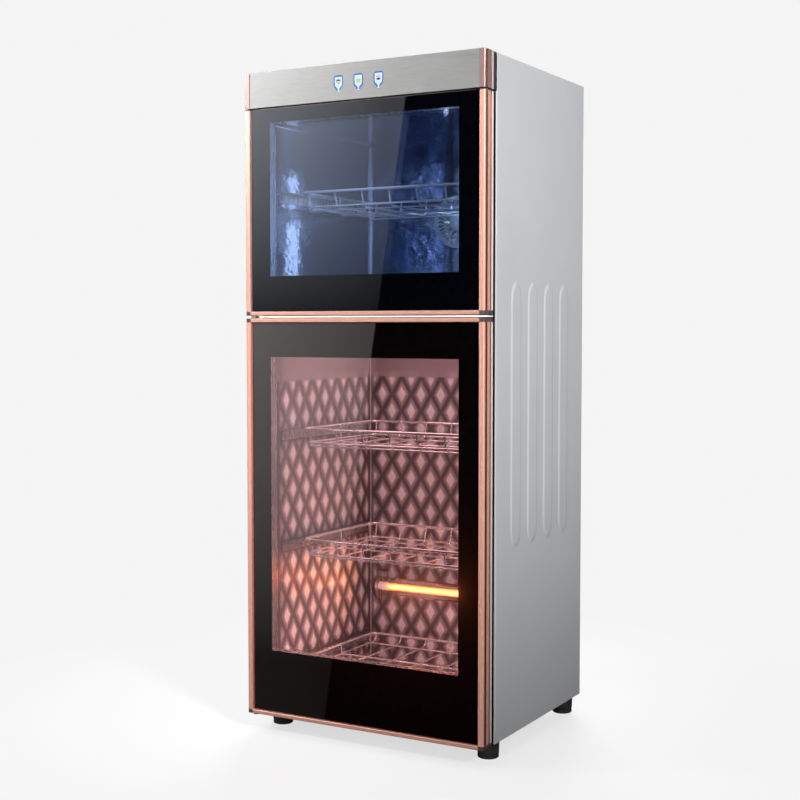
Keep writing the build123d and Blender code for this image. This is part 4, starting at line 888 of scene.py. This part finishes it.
def addHexScrew(bm, place, normal, radius):
    turn = Vector((0, 0, 1)).rotation_difference(Vector(normal)).to_matrix()
    before = set(bm.verts)
    for part, sides in (("washer", 24), ("head", 6)):
        addTurned(bm, [(radius * r, radius * h) for r, h in screwLook[part]], (0, 0, 0), "z", sides)
    for v in set(bm.verts) - before:
        v.co = Vector(place) + turn @ v.co


def makeScrews():
    rear, bracket, guard = screwLook["rear"], screwLook["bracket"], screwLook["guard"]
    places = [(x, z) for x in rear["x"] for z in rear["ends"]]
    places += [(x, z) for z in rear["sides"] for x in (rear["x"][0], rear["x"][-1])]
    bm = bmesh.new()
    for x, z in places:
        addHexScrew(bm, (x, rear["y"], z), (0, 1, 0), rear["radius"])
    keepPiece("rearPanelScrews", bm, "plainSteel", "cabinet", smooth=30)
    bm = bmesh.new()
    for side in (-1, 1):
        for z in bracket["z"]:
            addHexScrew(bm, (side * bracket["x"], bracket["y"], z), (0, -1, 0), bracket["radius"])
    for quarter in range(4):
        angle = math.pi / 4 + quarter * math.pi / 2
        x, z = guard["x"] + guard["reach"] * math.cos(angle), guard["z"] + guard["reach"] * math.sin(angle)
        addHexScrew(bm, (x, guard["y"], z), (0, -1, 0), guard["radius"])
    keepPiece("linerScrews", bm, "plainSteel", "cabinet", smooth=30)


makeScrews()
print("screws made")

# ultraviolet lamp: a clear glowing tube with metal caps
lampLook = {"x": 0.118, "y": 0.146, "low": 0.803, "high": 0.989, "radius": 0.00775, "cap": 0.011}


def makeLamp():
    look = lampLook
    r, cap, foot = look["radius"], look["cap"], (look["x"], look["y"], 0)
    ends = ((look["low"], 1), (look["high"], -1))
    profile = []
    for end, way in ends:
        inside = [(0.0, -0.002), (r - 0.002, -0.002), (r - 0.0004, 0.0), (r, 0.003)]  # radius, height past the cap
        profile += [(radius, end + way * (cap + up)) for radius, up in inside[::way]]
    bm = bmesh.new()
    addTurned(bm, profile, foot, "z", 40)
    keepPiece("lampTube", bm, "lampGlass", "cabinet", ("uv_lamp_tube",))
    bm = bmesh.new()
    for end, way in ends:
        profile = ((0.0, 0.0), (r - 0.0002, 0.0), (r, 0.0006), (r, cap), (0.0, cap + 0.0002))
        addTurned(bm, [(radius, end + way * up) for radius, up in profile], foot, "z", 40)
    keepPiece("lampCaps", bm, "plainSteel", "cabinet")


makeLamp()
print("lamp made")

# feet: ribbed sides and a soft pad
footLook = {"places": ((-0.2, -0.13), (0.2, -0.13), (-0.2, 0.175), (0.2, 0.175)), "radius": 0.019, "height": 0.030}


def makeFeet():
    bm = bmesh.new()
    r, h = footLook["radius"], footLook["height"]
    profile = [(0.0, 0.0), (r - 0.0035, 0.0), (r - 0.0018, 0.0012), (r - 0.0016, 0.0055), (r - 0.003, 0.0062),
               (r - 0.003, 0.0075),
               (r - 0.0014, 0.0082), (r - 0.0008, h - 0.004), (r, h - 0.003), (r, h - 0.0006), (r - 0.0006, h),
               (0.0, h)]
    for x, y in footLook["places"]:
        addTurned(bm, profile, (x, y, 0), "z", 40)
    keepPiece("cabinetFeet", bm, "footRubber", "cabinet", ("feet",))


makeFeet()
print("feet made")

# key symbols on the touch keys: a lit outline with a small mark inside
keyLook = {
    "centres": (-0.0396, -0.002, 0.0356), "z": 1.0888, "face": 0.001, "line": 0.0013, "flat": 0.35, "size": 1.18,
    "field": (1.16, 1.08), "bend": 0.0026,
    # right half of the outline from the foot up, a rounded box on a short stem
    "outline": ((0.0020, -0.0108), (0.0022, -0.0078), (0.0066, -0.0046), (0.0070, 0.0095)),
    # the marks of each key: finish, centre x and z, half width, half height, from turn, to turn
    "marks": (
        (("keyBrown", 0.0, 0.0030, 0.0042, 0.0030, 0.0, 0.5), ("keyOlive", 0.0, 0.0022, 0.0036, 0.0044, 0.5, 1.0)),
        (("keyOlive", 0.0, 0.0040, 0.0040, 0.0072, 0.5, 1.0),),
        (("keyRose", 0.0, 0.0030, 0.0042, 0.0042, 0.0, 0.5), ("keyBrown", 0.0, 0.0004, 0.0036, 0.0019, 0.0, 1.0)),
    ),
}


def addFlatShape(bm, outline, x, z, front, back):
    # a flat plate from an outline of (across, up) points
    near, far = ([bm.verts.new((x + a, doorFace + depth, z + b)) for a, b in outline] for depth in (front, back))
    bm.faces.new(near)
    bm.faces.new(list(reversed(far)))
    joinRings(bm, far, near)


def symbolOutline():
    right = keyLook["outline"]
    points = [(-x, z, 0) for x, z in right] + [(x, z, 0) for x, z in reversed(right)]
    return [(p.x * keyLook["size"], p.y * keyLook["size"]) for p in roundPath(points, keyLook["bend"], 4)]


def ellipse(x, z, wide, tall, start, end):
    # part of an ellipse; start and end are shares of a full turn
    turns = [2 * math.pi * (start + (end - start) * k / 16) for k in range(17 if end - start < 1 else 16)]
    return [(x + wide * math.cos(t), z + tall * math.sin(t)) for t in turns]


def makeKeySymbols():
    look = keyLook
    outline, face = symbolOutline(), look["face"]
    lines, fields = bmesh.new(), bmesh.new()
    marks = {"keyBrown": bmesh.new(), "keyOlive": bmesh.new(), "keyRose": bmesh.new()}
    for x, shapes in zip(look["centres"], look["marks"]):
        path = [Vector((x + a, doorFace + face - 0.0002, look["z"] + b)) for a, b in outline]
        addWire(lines, path, look["line"], 8)
        field = [(a * look["field"][0], b * look["field"][1]) for a, b in outline]
        addFlatShape(fields, field, x, look["z"], face - 0.0001, face + 0.0001)
        for finish, *shape in shapes:
            addFlatShape(marks[finish], ellipse(*shape), x, look["z"], face - 0.0003, face)
    for v in lines.verts:
        v.co.y = doorFace + face + (v.co.y - doorFace - face) * look["flat"]
    keepPiece("keyOutlines", lines, "keyBlue", "cabinet", smooth=60)
    keepPiece("keyFields", fields, "keyGlow", "cabinet")
    for finish, bm in marks.items():
        keepPiece(f"{finish}Marks", bm, finish, "cabinet")


makeKeySymbols()
print("keys made")

# floor, lights and camera
studioLook = {
    "world": (0.05, 0.22), "worldHeights": (-0.15, 0.35),  # light from below and above, and the heights between
    "backdrop": 0.91, "floor": (0.80, 0.80, 0.80), "floorHalf": 9,
    "floorFade": (0.72, 1.0, 0.28, 0.95),  # share of backdrop near and far, and the distances between
}
cards = (  # name, finish, y, corners as (x, z), light at two x, these x, fade as (low z, high z, least share)
    ("flag", "flagDark", -2.8, ((-3.6, -3), (0.6, -3), (0.6, 3.2), (-3.6, 3.2)), (0.0, 0.0), (-1, 1), (0, 1, 1)),
    ("upperCard", "upperCardLight", -2.7, ((-3.2, 0.74), (-1.444, 0.74), (-1.312, 1.6), (-3.2, 1.6)),
     (2.0, 0.55), (-2.05, -1.4), (0.72, 1.5, 0.09)),
    ("lowerCard", "lowerCardLight", -2.7, ((-3.2, -1.2), (-1.74, -1.2), (-1.45, 0.71), (-3.2, 0.71)),
     (1.35, 0.6), (-2.05, -1.5), (-0.6, 0.75, 0.07)),
    ("headCard", "headCardLight", -2.7, ((-3.6, 1.62), (-1.2, 1.62), (-1.2, 2.9), (-3.6, 2.9)),
     (12.0, 0.0), (-2.5, -1.6), (1.6, 1.7, 1)),
)
beamLook = {
    "place": (2.9, -1.9, 2.3), "target": (0.225, -0.20, 0.93), "power": 940, "spread": 29.5, "blend": 0.85,
    "radius": 0.3,
}
glows = (  # the light of the lamp and of the heater inside the compartments; the last value: seen in gloss
    ("lampGlow", (0.10, 0.02, 1.03), (0.0, 0.02, 0.75), (0.10, 0.16), 0.045, (0.30, 0.48, 1.0), False),
    ("lampSideGlow", (0.150, 0.10, 0.90), (-0.1, 0.0, 0.85), (0.03, 0.16), 0.035, (0.40, 0.60, 1.0), False),
    ("ventGlow", (0.05, 0.08, 0.93), (0.0, 0.162, 0.885), (0.03, 0.03), 0.12, (0.62, 0.80, 1.0), False),
    ("heaterGlow", (0.0, 0.115, 0.215), (0.0, -0.15, 0.30), (0.28, 0.02), 1.3, (1.0, 0.42, 0.14), False),
    ("lowerGlow", (0.0, -0.02, 0.675), (0.0, 0.03, 0.2), (0.30, 0.22), 1.0, (1.0, 0.72, 0.71), True),
    ("lowerFloorGlow", (0.0, -0.12, 0.075), (0.0, 0.05, 0.5), (0.30, 0.05), 1.5, (1.0, 0.64, 0.60), False),
    ("lowerSideGlow", (0.185, 0.0, 0.36), (-0.19, 0.0, 0.36), (0.20, 0.50), 1.0, (1.0, 0.70, 0.69), False),
    ("streakGlow", (-0.026, 0.150, 0.89), (-0.195, -0.11, 0.89), (0.016, 0.20), 0.03, (0.78, 0.90, 1.0), True),
    ("cornerGlow", (0.190, 0.086, 0.995), (0.02, 0.162, 0.97), (0.024, 0.100), 0.032, (0.60, 0.82, 1.0), True),
)
white = (1, 1, 1)
lights = (  # name, place, target, size, power, colour
    ("keyLight", (0.5, -3.0, 1.3), (0.0, -0.2, 0.6), (1.4, 1.4), 50, white),
    ("topLight", (0.0, -0.2, 3.0), (0, 0, 0.8), (1.8, 1.8), 24, white),
    ("backLight", (-1.2, 2.8, 1.7), (0, 0, 0.6), (1.6, 1.6), 95, white),
    ("leftLight", (-2.4, -1.7, 1.9), (-0.2, 0, 0.7), (0.7, 0.7), 40, white),
)


def stageFinish(name, colour, rough=0.6):
    material, tree, shader = newFinish(name)
    tree.links.new(ramp(tree, noise(tree, 1.5), ((0.3, tuple(c * 0.985 for c in colour)), (0.7, colour))),
                   shader.inputs["Base Color"])
    shader.inputs["Roughness"].default_value = rough
    shader.inputs["Specular IOR Level"].default_value = 0.2
    # away from the cabinet the floor passes into the backdrop
    light, mix = tree.nodes.new("ShaderNodeEmission"), tree.nodes.new("ShaderNodeMixShader")
    light.inputs[1].default_value = studioLook["backdrop"]
    away = tree.nodes.new("ShaderNodeVectorMath")
    away.operation = "LENGTH"
    tree.links.new(stretched(tree, (1, 1, 1)), away.inputs[0])
    tree.links.new(span(tree, away.outputs["Value"], *studioLook["floorFade"]), mix.inputs[0])
    tree.links.new(shader.outputs[0], mix.inputs[1])
    tree.links.new(light.outputs[0], mix.inputs[2])
    output = next(n for n in tree.nodes if n.type == "OUTPUT_MATERIAL")
    tree.links.new(mix.outputs[0], output.inputs[0])
    return material


def stagePlane(name, corners, material):
    mesh = bpy.data.meshes.new(name)
    mesh.from_pydata(corners, [], [tuple(range(len(corners)))])
    plane = bpy.data.objects.new(name, mesh)
    mesh.materials.append(material)
    bpy.context.scene.collection.objects.link(plane)
    return plane


def cardFinish(name, strengths, across, fade):
    # light that changes across a card between two x, and fades along z
    material = bpy.data.materials.new(name)
    material.use_nodes = True
    tree = material.node_tree
    tree.nodes.clear()
    output = tree.nodes.new("ShaderNodeOutputMaterial")
    light = tree.nodes.new("ShaderNodeEmission")
    parts = tree.nodes.new("ShaderNodeSeparateXYZ")
    tree.links.new(stretched(tree, (1, 1, 1)), parts.inputs[0])
    times = tree.nodes.new("ShaderNodeMath")
    times.operation = "MULTIPLY"
    low, high, least = fade
    tree.links.new(span(tree, parts.outputs[0], *strengths, *across), times.inputs[0])
    tree.links.new(span(tree, parts.outputs[2], least, 1.0, low, high), times.inputs[1])
    tree.links.new(times.outputs[0], light.inputs["Strength"])
    tree.links.new(light.outputs[0], output.inputs[0])
    return material


def makeWorld():
    # the camera sees an even backdrop, everything else a softer light that comes from above
    world = bpy.data.worlds.new("studio")
    world.use_nodes = True
    air = world.node_tree
    seen, felt = air.nodes["Background"], air.nodes.new("ShaderNodeBackground")
    seen.inputs[0].default_value = felt.inputs[0].default_value = (1, 1, 1, 1)
    seen.inputs[1].default_value = studioLook["backdrop"]
    around, parts = air.nodes.new("ShaderNodeTexCoord"), air.nodes.new("ShaderNodeSeparateXYZ")
    air.links.new(around.outputs["Generated"], parts.inputs[0])
    air.links.new(span(air, parts.outputs[2], *studioLook["world"], *studioLook["worldHeights"]), felt.inputs[1])
    path, mix = air.nodes.new("ShaderNodeLightPath"), air.nodes.new("ShaderNodeMixShader")
    air.links.new(path.outputs["Is Camera Ray"], mix.inputs[0])
    air.links.new(felt.outputs[0], mix.inputs[1])
    air.links.new(seen.outputs[0], mix.inputs[2])
    air.links.new(mix.outputs[0], air.nodes["World Output"].inputs[0])
    bpy.context.scene.world = world


def aimed(name, lamp, place, target):
    holder = bpy.data.objects.new(name, lamp)
    holder.location = place
    holder.rotation_euler = (Vector(target) - Vector(place)).to_track_quat("-Z", "Y").to_euler()
    bpy.context.scene.collection.objects.link(holder)
    return holder


def addAreaLight(name, place, target, size, power, colour, glossy=True):
    lamp = bpy.data.lights.new(name, "AREA")
    lamp.shape = "RECTANGLE"
    lamp.size, lamp.size_y = size
    lamp.energy, lamp.color = power, colour
    holder = aimed(name, lamp, place, target)
    holder.visible_camera = False
    holder.visible_glossy = glossy


def makeStudio():
    half = studioLook["floorHalf"]
    corners = [(-half, -half, 0), (half, -half, 0), (half, half, 0), (-half, half, 0)]
    floor = stagePlane("floor", corners, stageFinish("floorPaper", studioLook["floor"]))
    floor.visible_glossy = floor.visible_diffuse = False
    # a dark flag and slanted soft cards that only gloss can see
    for name, finish, y, places, *light in cards:
        card = stagePlane(name, [(x, y, z) for x, z in places], cardFinish(finish, *light))
        card.visible_camera = card.visible_diffuse = card.visible_shadow = card.visible_transmission = False
    beam = bpy.data.lights.new("sideBeam", "SPOT")
    beam.energy, beam.shadow_soft_size = beamLook["power"], beamLook["radius"]
    beam.spot_size, beam.spot_blend = math.radians(beamLook["spread"]), beamLook["blend"]
    aimed("sideBeam", beam, beamLook["place"], beamLook["target"])
    for light in lights + glows:
        addAreaLight(*light)


cameraLook = {"place": (1.1683, -2.1262, 0.6931), "tilt": 0.052, "turn": 0.516, "lens": 62.48}


def makeCamera():
    lens = bpy.data.cameras.new("photoCamera")
    lens.sensor_width = 36.0
    lens.lens = cameraLook["lens"]
    camera = bpy.data.objects.new("photoCamera", lens)
    camera.location = cameraLook["place"]
    camera.rotation_euler = (math.pi / 2 - cameraLook["tilt"], 0, cameraLook["turn"])
    bpy.context.scene.collection.objects.link(camera)
    bpy.context.scene.camera = camera


def makeBloom():
    # a soft halo round the heater and the lamp
    scene = bpy.context.scene
    scene.use_nodes = True
    tree = scene.node_tree
    tree.nodes.clear()
    layers, glare, out = (tree.nodes.new(kind)
                          for kind in ("CompositorNodeRLayers", "CompositorNodeGlare", "CompositorNodeComposite"))
    glare.glare_type = "BLOOM"
    for socket, value in (("Threshold", 1.6), ("Strength", 0.75), ("Size", 0.45), ("Saturation", 1.0)):
        glare.inputs[socket].default_value = value
    tree.links.new(layers.outputs["Image"], glare.inputs["Image"])
    tree.links.new(glare.outputs["Image"], out.inputs["Image"])


makeWorld()
makeStudio()
makeCamera()
makeBloom()
bpy.context.scene.view_settings.view_transform = "Standard"
print("studio ready")
